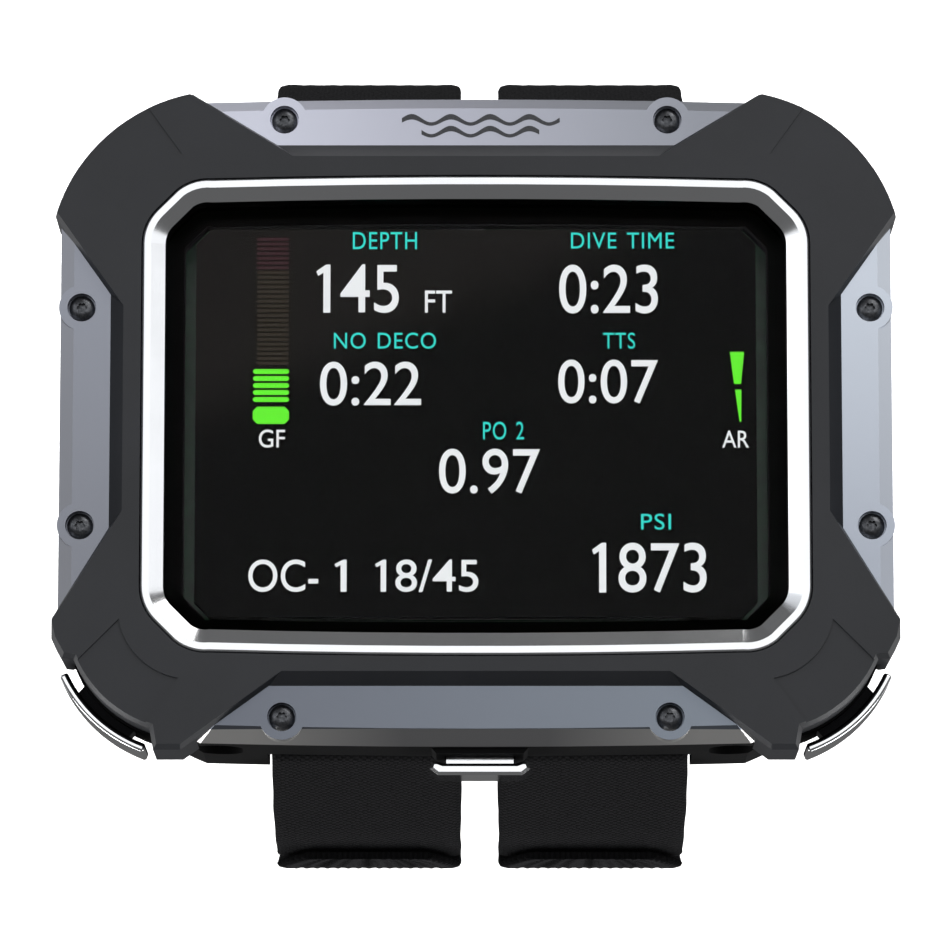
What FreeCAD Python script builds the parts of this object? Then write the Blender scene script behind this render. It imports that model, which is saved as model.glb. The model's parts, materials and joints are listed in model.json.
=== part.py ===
"""A wrist dive computer: a metal face frame with a soft corner bumper over a sealed case.

The frame stands as the computer is read: +Z is up, the display looks along -Y and the wrist is at +Y.
The origin is the centre of the case back. Depths are measured from the front face of the metal frame,
which lies case_depth in front of the origin, so a depth becomes a Y by at(depth).
Three sprung keys move: one on each lower corner and one under the middle of the case.
"""

import FreeCAD
import Part
import math
import os
import Sketcher
from FreeCAD import Placement, Rotation, Vector

SIZES = {
    # case and face frame
    "case_width": 93.0,
    "case_height": 73.4,
    "case_depth": 26.0,
    "edge_bow": 0.4,
    "corner_across": 16.0,
    "corner_up": 14.2,
    "corner_sag": 1.8,
    "frame_thick": 3.0,
    "frame_bevel": 1.65,
    "frame_bevel_depth": 2.9,
    "shell_back": 21.0,
    "cavity_across": 39.0,
    "cavity_up": 28.0,
    "cavity_front": 6.5,
    # window, bezel ring and glass
    "ring_across": 37.2,
    "ring_up": 27.05,
    "ring_cut": 5.44,
    "ring_round": 5.5,
    "ring_rise": 1.45,
    "ring_lip": 1.0,
    "ring_slope": 1.55,
    "ring_slope_deep": 0.65,
    "ring_back": 4.5,
    "glass_front": 1.2,
    "glass_thick": 3.0,
    "glass_edge": 1.5,
    "glass_edge_drop": 0.45,
    "glass_ledge": 1.9,
    "gasket_thick": 0.4,
    "fit_gap": 0.1,
    # bumper
    "bumper_rise": 1.3,
    "bumper_skirt": 9.0,
    "bumper_band": 3.55,
    "bumper_slope": 1.5,
    "bumper_proud": 0.5,
    "pad_radius": 8.1,
    "pad_sink": 0.3,
    # screws
    "screw_x_inner": 21.45,
    "screw_edge_z": 2.96,
    "screw_edge_x": 2.52,
    "screw_z_inner": 12.3,
    "screw_boss": 2.55,
    "screw_head": 1.42,
    "screw_head_tall": 1.1,
    "screw_sink": 0.35,
    "screw_seat_gap": 0.18,
    "screw_shank": 0.8,
    "screw_length": 7.0,
    "screw_drive": 0.62,
    "screw_drive_deep": 0.7,
    # keys
    "key_travel": 0.7,
    "corner_key_depth": 9.0,
    "middle_cap_shift": 1.1,
    "key_neck_wide": 7.5,
    "key_slide_gap": 0.2,
    "key_stop_gap": 1.0,
    "corner_key_inset_x": 15.0,
    "corner_key_inset_z": 15.1,
    "corner_key_angle": 47.6,
    "corner_key_span": 22.8,
    "corner_key_radius": 16.4,
    "corner_key_thick": 1.0,
    "corner_key_tall": 8.0,
    "corner_wall": 5.6,
    "middle_key_wide": 11.2,
    "middle_key_tall": 6.0,
    "middle_key_thick": 1.3,
    "middle_key_ear": 0.22,
    "middle_key_x": 0.45,
    "boss_rise": 0.6,
    "plunger_radius": 1.5,
    "clip_proud": 0.7,
    "clip_gap": 0.1,
    "plunger_gap": 0.03,
    "plunger_tip": 1.4,
    "spring_wire": 0.5,
    "spring_gap": 0.05,
    "spring_room": 0.15,
    "spring_turns": 3.0,
    # straps
    "strap_width": 21.3,
    "strap_thick": 1.0,
    "strap_x": 12.82,
    "strap_side_gap": 0.3,
    "strap_pin_depth": 14.5,
    "strap_pin_inset": 1.7,
    "strap_pin_radius": 1.1,
    "strap_pin_seat": 1.5,
    "strap_channel_front": 11.2,
    "strap_channel_inset": 5.3,
    "wrist_side_y": 11.0,
    "wrist_side_reach": 6.9,
    "wrist_side_radius": 23.3,
    "wrist_back_y": 50.0,
    "wrist_drop": 0.4,
    "layer_gap": 0.4,
    "sewn_length": 7.7,
    "tail_angle": 100.0,
    "tail_taper": 7.0,
    "tail_corner": 3.4,
    "patch_angle": 58.0,
    # lanyard bars
    "lanyard_x": 28.6,
    "lanyard_depth": 8.4,
    "lanyard_wide": 5.2,
    "lanyard_long": 7.6,
    "lanyard_deep": 4.2,
    "lanyard_bar": 0.75,
    # rear cover and what it carries
    "cover_margin": 1.5,
    "cover_strap_gap": 0.5,
    "cover_corner": 6.5,
    "cover_edge": 1.0,
    "cover_screw_inset": 2.4,
    "cover_screw_z": 11.0,
    "corner_screw_inset_x": 6.6,
    "corner_screw_inset_z": 3.5,
    "seal_wide": 0.9,
    "seal_inset": 0.6,
    "sensor_x": -26.0,
    "sensor_radius": 5.0,
    "contact_x": 24.0,
    "contact_pitch": 4.0,
    "contact_radius": 1.2,
    # inner parts
    "panel_across": 31.4,
    "panel_up": 22.0,
    "panel_corner": 1.7,
    "panel_gap": 0.12,
    "panel_thick": 1.5,
    "backlight_thick": 1.9,
    "board_across": 35.0,
    "board_up": 25.0,
    "board_thick": 1.0,
    "board_depth": 10.2,
    "battery_across": 25.0,
    "battery_up": 17.0,
    "battery_thick": 6.0,
    "battery_depth": 12.6,
    "foam_across": 18.0,
    "foam_up": 15.0,
}

doc = FreeCAD.newDocument("dive_computer")
sheet = doc.addObject("Spreadsheet::Sheet", "Sizes")


class Size:
    """A number that remembers the spreadsheet formula it came from."""

    def __init__(self, value, text):
        self.value = float(value)
        self.text = text

    def join(self, other, sign, value):
        return Size(value, f"({self.text} {sign} {as_size(other).text})")

    def __add__(self, other):
        return self.join(other, "+", self.value + as_size(other).value)

    def __sub__(self, other):
        return self.join(other, "-", self.value - as_size(other).value)

    def __mul__(self, other):
        return self.join(other, "*", self.value * as_size(other).value)

    def __truediv__(self, other):
        return self.join(other, "/", self.value / as_size(other).value)

    def __neg__(self):
        return Size(-self.value, f"(0 - {self.text})")

    def __radd__(self, other):
        return as_size(other) + self

    def __rsub__(self, other):
        return as_size(other) - self

    def __rmul__(self, other):
        return as_size(other) * self

    def __float__(self):
        return self.value


def as_size(number):
    return number if isinstance(number, Size) else Size(number, repr(float(number)))


class Sheet:
    """The driving sizes as attributes, each bound to its spreadsheet cell."""


def cosine(angle):
    return Size(math.cos(math.radians(angle.value)), f"cos({angle.text} * 1 deg)")


def sine(angle):
    return Size(math.sin(math.radians(angle.value)), f"sin({angle.text} * 1 deg)")


size = Sheet()
for row, (alias, number) in enumerate(SIZES.items(), start=1):
    sheet.set(f"A{row}", alias)
    sheet.set(f"B{row}", str(number))
    sheet.setAlias(f"B{row}", alias)
    setattr(size, alias, Size(number, f"Sizes.{alias}"))
doc.recompute()

SQUARE_CUT = 2 - math.sqrt(2)
TANGENT_SHARE = math.tan(math.radians(22.5))
HALF_DIAGONAL = math.sqrt(0.5)

# along a key's axis, in mm: how far the neck reaches into its pocket, then the depths of pocket and well
NECK_IN, POCKET_DEEP, WELL_DEEP = 1.2, 2.3, 2.4
CLIP_THICK = 0.45
SEAL_RADIUS = 0.32

# degrees round the pins: where the sewn end leaves the lower pin, and where the free end folds on the upper
SEWN_TURN, FOLD_ANGLE = 196.0, 212.0
parts = []


def at(depth):
    """The Y of a depth behind the front face of the metal frame."""
    return as_size(depth) - size.case_depth


def bind(thing, prop, number):
    """Sets a property from a size, and keeps it bound to the spreadsheet."""
    number = as_size(number)
    thing.setExpression(prop, number.text)


def keep(thing, label):
    """Marks an object as a sub-part to be written, under its own label."""
    thing.Label = label
    parts.append(thing)
    return thing


# ---- sketches and features -------------------------------------------------


def new_body(name):
    return doc.addObject("PartDesign::Body", name)


def new_sketch(body, name, plane, offset=0.0):
    """A sketch on one of the body's own planes, moved along +Y, +Z or +X by offset."""
    sketch = body.newObject("Sketcher::SketchObject", name)
    planes = [f for f in body.Origin.OriginFeatures if f.Role == plane]
    sketch.AttachmentSupport = [(planes[0], "")]
    sketch.MapMode = "FlatFace"
    along = -as_size(offset) if plane == "XZ_Plane" else as_size(offset)
    bind(sketch, "AttachmentOffset.Base.z", along)
    return sketch


def add_outline(sketch, points):
    """Closes lines and arcs through points. A point is (x, z), or (x, z, radius) where an arc leaves it."""
    count = len(points)
    corners = [Vector(float(as_size(p[0])), float(as_size(p[1])), 0) for p in points]
    first = sketch.GeometryCount
    ends = []
    for i, point in enumerate(points):
        start, end = corners[i], corners[(i + 1) % count]
        if len(point) == 3:
            radius = float(as_size(point[2]))
            add_arc(sketch, start, end, radius)
            ends.append((1, 2) if radius > 0 else (2, 1))
        else:
            sketch.addGeometry(Part.LineSegment(start, end), False)
            ends.append((1, 2))
    for i in range(count):
        after = (i + 1) % count
        joint = Sketcher.Constraint("Coincident", first + i, ends[i][1], first + after, ends[after][0])
        sketch.addConstraint(joint)
    for i, point in enumerate(points):
        hold(sketch, "DistanceX", f"x{first + i}", point[0], first + i, ends[i][0])
        hold(sketch, "DistanceY", f"z{first + i}", point[1], first + i, ends[i][0])
        if len(point) == 3:
            radius = as_size(point[2])
            hold(sketch, "Radius", f"r{first + i}", radius if radius.value > 0 else -radius, first + i)


def add_circle(sketch, x, z, radius):
    x, z, radius = as_size(x), as_size(z), as_size(radius)
    circle = Part.Circle(Vector(x.value, z.value, 0), Vector(0, 0, 1), radius.value)
    index = sketch.addGeometry(circle, False)
    hold(sketch, "DistanceX", f"x{index}", x, index, 3)
    hold(sketch, "DistanceY", f"z{index}", z, index, 3)
    hold(sketch, "Radius", f"r{index}", radius, index)


def add_shape(sketch, shape):
    """Draws an outline (a list of points) or circles (a list of (x, z, r) inside a tuple)."""
    if isinstance(shape, tuple):
        for circle in shape:
            add_circle(sketch, *circle)
    else:
        add_outline(sketch, shape)


def grow(body, feature, name, shape, front, length):
    """Pads or pockets outlines or circles from the depth front, along +Y."""
    sketch = new_sketch(body, f"{name}_sketch", "XZ_Plane", at(front))
    add_shape(sketch, shape)
    made = body.newObject(f"PartDesign::{feature}", name)
    made.Profile = sketch
    bind(made, "Length", length)
    made.Reversed = feature == "Pad"
    body.Tip = made
    doc.recompute()
    return made


def pad(body, name, shape, front, length):
    return grow(body, "Pad", name, shape, front, length)


def pocket(body, name, shape, front, length):
    before = body.Shape.Volume
    made = grow(body, "Pocket", name, shape, front, length)
    if before - body.Shape.Volume < 1e-6:
        raise RuntimeError(f"{name} cuts nothing")
    return made


def plate(label, shape, front, length):
    """A flat piece of one outline, from the depth front to front + length."""
    body = new_body(label)
    pad(body, f"{label}_pad", shape, front, length)
    return body


def turned(label, profile):
    """A round piece about its own Z axis, from (radius, height) points."""
    body = new_body(label)
    sketch = new_sketch(body, f"{label}_sketch", "XZ_Plane")
    add_outline(sketch, profile)
    spin = body.newObject("PartDesign::Revolution", f"{label}_turn")
    spin.Profile = sketch
    spin.ReferenceAxis = (sketch, ["V_Axis"])
    spin.Angle = 360
    body.Tip = spin
    doc.recompute()
    return body


def edge_names(shape, wanted):
    return [f"Edge{i}" for i, edge in enumerate(shape.Edges, start=1) if wanted(edge)]


def dress(body, kind, name, wanted, amount, second=None):
    """Fillets or chamfers the edges of the body's tip that wanted() picks."""
    tip = body.Tip
    edges = edge_names(tip.Shape, wanted)
    if not edges:
        raise RuntimeError(f"{name} finds no edge")
    made = body.newObject(f"PartDesign::{kind}", name)
    made.Base = (tip, edges)
    if kind == "Fillet":
        bind(made, "Radius", amount)
    else:
        bind(made, "Size", amount)
        if second is not None:
            made.ChamferType = "Two distances"
            bind(made, "Size2", second)
    body.Tip = made
    doc.recompute()
    return made


def on_plane(edge, y, slack=1e-4):
    return all(abs(v.Point.y - float(as_size(y))) < slack for v in edge.Vertexes)


# ---- shared outlines -------------------------------------------------------


def bow_radius(half_chord, bow):
    """The radius of an arc over 2 * half_chord that rises by bow."""
    return half_chord * half_chord / (2 * bow) + bow / 2


def case_outline(inset=0.0):
    """The case seen from the front: bowed top and bottom, straight sides and wide arcs at the corners."""
    across = size.case_width / 2 - inset
    up = size.case_height / 2 - inset
    inner = across - size.corner_across
    low = up - size.edge_bow
    side = up - size.corner_up
    leg = (size.corner_across * size.corner_across + size.corner_up * size.corner_up) / 4
    round_corner = leg / (2 * size.corner_sag) + size.corner_sag / 2
    bow = bow_radius(inner, size.edge_bow)
    return [
        (-inner, -low, bow),
        (inner, -low, round_corner),
        (across, -side),
        (across, side, round_corner),
        (inner, low, bow),
        (-inner, low, round_corner),
        (-across, side),
        (-across, -side, round_corner),
    ]


def window_outline(grow_by=0.0):
    """The eight-sided window with rounded corners, grown or shrunk evenly from the bezel ring's outside."""
    across = size.ring_across + grow_by
    up = size.ring_up + grow_by
    cut = size.ring_cut + SQUARE_CUT * as_size(grow_by)
    turn = size.ring_round + grow_by
    return eight_sided(across, up, cut, turn, size.edge_bow)


def eight_sided(across, up, cut, turn, bow=None):
    """A rectangle with cut and rounded corners, its long sides bowed where bow is given."""
    ease = TANGENT_SHARE * turn
    slant = HALF_DIAGONAL * ease
    inner = across - cut - ease
    side = up - cut - ease
    long_z = up - bow if bow is not None else up
    corners = [
        (across, side, turn),
        (across - slant, up - cut + slant),
        (across - cut + slant, up - slant, turn),
    ]
    quarter = [
        (1, 1, corners),
        (-1, 1, corners[::-1]),
        (-1, -1, corners),
        (1, -1, corners[::-1]),
    ]
    points = []
    for sign_x, sign_z, row in quarter:
        turned_row = [(p[0] * sign_x, p[1] * sign_z) for p in row]
        end = (inner * sign_x, long_z * sign_z)
        if sign_x * sign_z > 0:
            points += [(*turned_row[0], turn), turned_row[1], (*turned_row[2], turn)]
            points.append((*end, bow_radius(inner, bow)) if bow is not None else end)
        else:
            points += [(*end, turn), turned_row[0], (*turned_row[1], turn), turned_row[2]]
    return points


def cavity_outline(inset=0.0):
    """The case's inner space, whose corners are cut square to the corner keys."""
    across = size.cavity_across - inset
    up = size.cavity_up - inset
    cos_key, sin_key = cosine(size.corner_key_angle), sine(size.corner_key_angle)
    reach = size.corner_key_x * cos_key + size.corner_key_z * sin_key + size.corner_wall - inset
    side = (reach - across * cos_key) / sin_key
    inner = (reach - up * sin_key) / cos_key
    return [
        (-inner, -up), (inner, -up), (across, -side), (across, side),
        (inner, up), (-inner, up), (-across, side), (-across, -side),
    ]  # fmt: skip


def rectangle(x, z, across, up):
    return [(x - across, z - up), (x + across, z - up), (x + across, z + up), (x - across, z + up)]


def box(label, x, depth, z, across, thick, up):
    """A plain block: x and z are its middle, depth its front face; across and up are half sizes."""
    return plate(label, rectangle(x, z, across, up), depth, thick)


# ---- tools that cut other pieces -------------------------------------------


def cylinder_tool(name, radius, length, start, direction):
    """A Part::Cylinder bound to the sheet, from start along direction."""
    tool = doc.addObject("Part::Cylinder", name)
    bind(tool, "Radius", radius)
    bind(tool, "Height", length)
    tool.Placement = Placement(start, Rotation(Vector(0, 0, 1), direction))
    return tool


def block_tool(name, wide, thick, tall, start, turn):
    """A Part::Box centred on start in width and thickness, and running tall along its own +Z."""
    tool = doc.addObject("Part::Box", name)
    bind(tool, "Length", wide)
    bind(tool, "Width", thick)
    bind(tool, "Height", tall)
    centre = turn.multVec(Vector(-float(as_size(wide)) / 2, -float(as_size(thick)) / 2, 0))
    tool.Placement = Placement(start + centre, turn)
    return tool


def cut_away(label, base, tools):
    """base less all the tools."""
    tool = tools[0]
    if len(tools) > 1:
        tool = doc.addObject("Part::MultiFuse", f"{label}_tools")
        tool.Shapes = tools
    result = doc.addObject("Part::Cut", label)
    result.Base = base
    result.Tool = tool
    doc.recompute()
    return result


def copies(label, source, places):
    """One node of identical separate solids."""
    group = doc.addObject("Part::Feature", label)
    solids = []
    for place in places:
        solid = source.Shape.copy()
        solid.Placement = place.multiply(source.Shape.Placement)
        solids.append(solid)
    group.Shape = Part.makeCompound(solids)
    return keep(group, label)


def screw_places():
    """Where the eight face screws stand, as (x, z)."""
    pairs = (
        (size.screw_x_inner, size.screw_z_outer),
        (size.screw_x_outer, size.screw_z_inner),
    )
    return [(x * across, z * up) for x, z in pairs for across in (-1, 1) for up in (-1, 1)]


# ---- face frame, ring, glass and gasket ------------------------------------


def make_front_frame():
    body = new_body("front_frame")
    outline = case_outline()
    taper(body, "frame_bevel", case_outline(size.frame_bevel), 0.0, outline, size.frame_bevel_depth)
    pad(body, "frame_edge", outline, size.frame_bevel_depth, size.frame_thick - size.frame_bevel_depth)
    bosses = tuple((x, z, size.screw_boss) for x, z in screw_places())
    pad(body, "frame_bosses", bosses, 0.0, size.frame_thick)
    pocket(body, "frame_window", window_outline(size.fit_gap), 0.0, size.frame_thick)
    seat = size.screw_head + size.screw_seat_gap
    seats = tuple((x, z, seat) for x, z in screw_places())
    pocket(body, "screw_seats", seats, 0.0, size.screw_sink + size.screw_head_tall)
    shank = size.screw_shank + size.fit_gap
    holes = tuple((x, z, shank) for x, z in screw_places())
    pocket(body, "screw_holes", holes, 0.0, size.frame_thick)
    return keep(body, "front_frame")


def make_face_screws():
    """A pan-head screw with a six-lobed socket, about its own Z, then eight copies."""
    head, tall = size.screw_head, size.screw_head_tall
    shank = size.screw_shank
    crown = tall * 0.3
    profile = [
        (0.0, 0.0), (shank, 0.0), (shank, size.screw_length - tall), (head, size.screw_length - tall),
        (head, size.screw_length - crown, head), (0.0, size.screw_length),
    ]  # fmt: skip
    body = turned("screw_blank", profile)
    top, deep = size.screw_length, size.screw_drive_deep + 1
    lobes = []
    for turn in range(6):
        angle = math.radians(60 * turn)
        away = size.screw_drive * 0.6
        start = Vector(away.value * math.cos(angle), away.value * math.sin(angle), 0)
        start.z = float(top - size.screw_drive_deep)
        lobes.append(cylinder_tool(f"lobe_{turn}", size.screw_drive * 0.34, deep, start, Vector(0, 0, 1)))
    middle = Vector(0, 0, float(top - size.screw_drive_deep))
    lobes.append(cylinder_tool("lobe_core", size.screw_drive * 0.62, deep, middle, Vector(0, 0, 1)))
    screw = cut_away("face_screw", body, lobes)
    places = []
    for x, z in screw_places():
        back = Vector(float(x), float(at(size.screw_sink + size.screw_length)), float(z))
        places.append(Placement(back, Rotation(Vector(0, 0, 1), Vector(0, -1, 0))))
    copies("face_screws", screw, places)
    return screw


def make_bezel_ring():
    """The polished lip round the glass: a rounded lip, then a slope down to the glass."""
    body = new_body("ring_blank")
    deep = size.ring_rise + size.ring_back
    rim = size.ring_lip * 0.25
    taper(body, "ring_rim", window_outline(-rim), -size.ring_rise, window_outline(), rim - size.ring_rise)
    pad(body, "ring_wall", window_outline(), rim - size.ring_rise, deep - rim)
    bore = window_outline(-(size.ring_lip + size.ring_slope))
    pocket(body, "ring_bore", bore, -size.ring_rise, deep)
    slope = new_body("ring_slope_tool")
    foot = size.ring_slope_deep - size.ring_rise
    taper(slope, "ring_slope", window_outline(-size.ring_lip), -size.ring_rise, bore, foot)
    return keep(cut_away("bezel_ring", body, [slope]), "bezel_ring")


def glass_inset():
    return -(size.ring_lip + size.ring_slope + size.fit_gap)


def make_glass():
    body = new_body("window_glass")
    outline = window_outline(glass_inset())
    edge = window_outline(glass_inset() - size.glass_edge)
    back = size.glass_front + size.glass_edge_drop
    taper(body, "glass_edge", edge, size.glass_front, outline, back)
    pad(body, "glass_pane", outline, back, size.glass_thick - size.glass_edge_drop)
    return keep(body, "window_glass")


def make_gasket():
    seat = size.glass_front + size.glass_thick
    body = new_body("glass_gasket")
    pad(body, "gasket_blank", window_outline(glass_inset()), seat, size.gasket_thick)
    hole = glass_inset() - size.glass_ledge + size.fit_gap
    pocket(body, "gasket_hole", window_outline(hole), seat, size.gasket_thick)
    return keep(body, "glass_gasket")


# ---- bumper ----------------------------------------------------------------


def bumper_outline(slope):
    """The soft face: a band round the window that reaches out over the four corners, shrunk by slope.

    Each row is x, z, then how far that corner moves in x and z for each unit of slope.
    """
    wide = size.case_width / 2 + size.bumper_proud
    high = size.case_height / 2
    side = size.ring_across + size.bumper_band
    rows = (
        (size.screw_x_inner + 0.75, size.ring_up + size.bumper_band + 0.2, -1.17, -1.0),
        (wide - 15.3, high - 0.1, 0.25, -0.14, 19.8, -0.09),
        (wide, high - 14.1, -0.15, 0.22),
        (side, size.screw_z_inner + 1.45, -1.0, -0.98),
        (side, -(size.screw_z_inner + 0.3), -1.0, 1.15),
        (wide, -(high - 13.9), -0.08, -0.22),
        (wide, -(high - 11.7), -0.33, 0.05),
        (wide - 1.2, -(high - 9.5), -0.2, 0.31),
        (wide - 2.5, -(high - 9.35), -0.22, 0.31, 14.15, -0.33),
        (wide - 10.95, -(high - 1.65), -0.29, 0.25),
        (wide - 11.35, -(high + 0.7), -0.28, 0.33),
        (wide - 14.35, -(high + 0.7), -0.03, 0.33),
        (size.screw_x_inner + 1.45, -(size.ring_up + size.bumper_band - 0.3), -0.95, 1.0),
    )
    # the outline runs clockwise, so an arc bulges out when its centre is on the right
    right = [corner(row, slope) for row in rows]
    left = []
    for i in range(len(rows) - 1, -1, -1):
        x, z = right[i][:2]
        arc = right[i - 1][2:] if i > 0 else ()
        left.append((-x, z, *arc))
    return right + left


def pad_outline(across, up):
    """The sunk sector on one corner of the bumper, open to the outside."""
    x, z = size.corner_key_x, size.corner_key_z
    reach = size.pad_radius
    inner_x, inner_z = x + reach * 0.985, z + reach * 0.17
    low_x, low_z = x + reach * 0.17, z + reach * 0.985
    turn = -reach if across * up > 0 else reach
    return [
        (inner_x * across, inner_z * up),
        ((inner_x + 9.0) * across, (inner_z + 9.0) * up),
        ((low_x + 6.5) * across, (low_z + 9.0) * up),
        (low_x * across, low_z * up, turn),
    ]


def make_bumper(frame):
    body = new_body("bumper_blank")
    rise = size.bumper_rise
    taper(body, "bumper_face", bumper_outline(size.bumper_slope), -rise, bumper_outline(as_size(0.0)), 0.0)
    pad(body, "bumper_skirt", bumper_outline(as_size(0.0)), 0.0, size.bumper_skirt)
    pocket(body, "bumper_window", window_outline(size.fit_gap), -rise, rise + size.bumper_skirt)
    for across in (-1, 1):
        for up in (-1, 1):
            sink = size.pad_sink if up < 0 else size.pad_sink * 0.6
            name = f"pad_{'left' if across < 0 else 'right'}_{'lower' if up < 0 else 'upper'}"
            pocket(body, name, pad_outline(across, up), -rise, sink)
    tools = [frame, case_blank("bumper_core", 0.0)]
    for across in (-1, 1):
        tools.append(key_clearance(f"key_gap_{'left' if across < 0 else 'right'}", across))
    return keep(cut_away("corner_bumper", body, tools), "corner_bumper")


def case_blank(name, inset):
    """The full outline of the case behind the frame, to cut what wraps round it."""
    length = size.case_depth - size.frame_thick
    return plate(name, case_outline(inset), size.frame_thick, length)


def key_clearance(name, across):
    """The room that a corner key needs in the bumper's skirt."""
    radius = size.corner_key_radius
    shape = sector_outline(radius - 6, radius + 3, size.corner_key_span + 2, across)
    front = size.corner_key_depth - size.corner_key_tall / 2 - 0.5
    return plate(name, shape, front, size.corner_key_tall + 6)


def sector_outline(inner, outer, span, across):
    """A ring sector about a corner key's centre of curvature, symmetric about the key's axis."""
    angle = size.corner_key_angle
    x, z = size.corner_key_x, size.corner_key_z
    points = []
    for radius, turn in ((inner, -1), (inner, 1), (outer, 1), (outer, -1)):
        here = angle + span * turn
        points.append(((x + radius * cosine(here)) * across, -(z + radius * sine(here))))
    # on the right the inner arc runs clockwise round the centre, on the left the other way
    inner_turn = -inner if across > 0 else inner
    outer_turn = outer if across > 0 else -outer
    return [
        (*points[0], inner_turn),
        points[1],
        (*points[2], outer_turn),
        points[3],
    ]


# ---- keys ------------------------------------------------------------------


def derived(alias, number):
    """Adds a worked-out size to the sheet, so that whatever needs it reads one cell."""
    row = len(SIZES) + 1
    while sheet.getContents(f"A{row}"):
        row += 1
    sheet.set(f"A{row}", alias)
    sheet.set(f"B{row}", "=" + number.text.replace("Sizes.", ""))
    sheet.setAlias(f"B{row}", alias)
    setattr(size, alias, Size(number.value, f"Sizes.{alias}"))


def add_fitted_sizes():
    """Works out the sizes that follow another piece: places set in from the case's edges, and the keys' fits."""
    half_wide, half_high = size.case_width / 2, size.case_height / 2
    derived("corner_key_x", half_wide - size.corner_key_inset_x)
    derived("corner_key_z", half_high - size.corner_key_inset_z)
    derived("screw_x_outer", half_wide - size.screw_edge_x)
    derived("screw_z_outer", half_high - size.screw_edge_z)
    derived("strap_pin_z", half_high - size.strap_pin_inset)
    derived("strap_channel_z", half_high - size.strap_channel_inset)
    derived("wrist_side_z", half_high + size.wrist_side_reach)
    derived("cover_across", half_wide - size.cover_margin)
    derived("cover_up", size.strap_channel_z - size.cover_strap_gap)
    derived("cover_screw_x", size.cover_across - size.cover_screw_inset)
    derived("corner_screw_x", size.cover_across - size.corner_screw_inset_x)
    derived("corner_screw_z", size.cover_up - size.corner_screw_inset_z)
    # the spring runs round its plunger, the well and the neck's pocket clear the spring, and the
    # middle key lies deep enough for its clip to bear on the cavity's wall
    derived("spring_radius", size.plunger_radius + size.spring_wire / 2 + size.spring_gap)
    outer = size.spring_radius + size.spring_wire / 2
    derived("spring_well", outer + size.spring_room)
    derived("key_neck_thick", (outer + 0.05 - size.key_slide_gap) * 2)
    derived("middle_key_depth", size.cavity_front + size.plunger_radius + size.clip_proud + size.clip_gap)
    doc.recompute()


class Key:
    """One push key: where its axis leaves the case and which way it points out."""

    def __init__(self, name, x, z, angle, depth, surface):
        self.name = name
        self.outward = Vector(math.cos(math.radians(angle)), 0, math.sin(math.radians(angle)))
        self.inward = -self.outward
        self.origin = Vector(float(x), float(at(depth)), float(z))
        self.depth, self.front = depth, depth - 1.0
        self.surface = surface
        # own X runs along the key, own Y along the case's depth, own Z into the case
        self.turn = Rotation(Vector(0, 1, 0).cross(self.inward), Vector(0, 1, 0), self.inward, "ZYX")

    def point(self, reach):
        """A point on the axis, reach outside the key's origin."""
        return self.origin + self.outward * float(as_size(reach))


def make_keys():
    """The three keys. Each is measured outward from its origin: surface is where the case's boss ends."""
    angle = size.corner_key_angle.value
    x, z, depth = size.corner_key_x, size.corner_key_z, size.corner_key_depth
    surface = size.corner_key_radius - size.corner_key_thick - size.key_stop_gap
    middle = size.case_height / 2 + size.boss_rise
    return [
        Key("left", -x, -z, 180 + angle, depth, surface),
        Key("right", x, -z, -angle, depth, surface),
        Key("middle", size.middle_key_x, 0.0, -90, size.middle_key_depth, middle),
    ]


def wall_face(key):
    """How far out the cavity's wall is on a key's axis."""
    return size.cavity_up if key.name == "middle" else size.corner_wall


def key_cutters(key):
    """What is cut from the case on one key's axis: neck pocket, spring well and plunger bore."""
    wide = size.key_neck_wide + size.key_slide_gap * 2
    thick = size.key_neck_thick + size.key_slide_gap * 2
    pocket_deep = as_size(POCKET_DEEP)
    start = key.point(key.surface + 1)
    tools = [block_tool(f"{key.name}_neck_pocket", wide, thick, pocket_deep + 1, start, key.turn)]
    floor = key.surface - pocket_deep
    well_start = key.point(floor + 0.1)
    tools.append(
        cylinder_tool(
            f"{key.name}_spring_well", size.spring_well, 0.1 + as_size(WELL_DEEP), well_start, key.inward
        )
    )
    bore = floor - wall_face(key) + 1
    tools.append(
        cylinder_tool(
            f"{key.name}_bore", size.plunger_radius + size.plunger_gap, bore, key.point(floor), key.inward
        )
    )
    return tools


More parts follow.
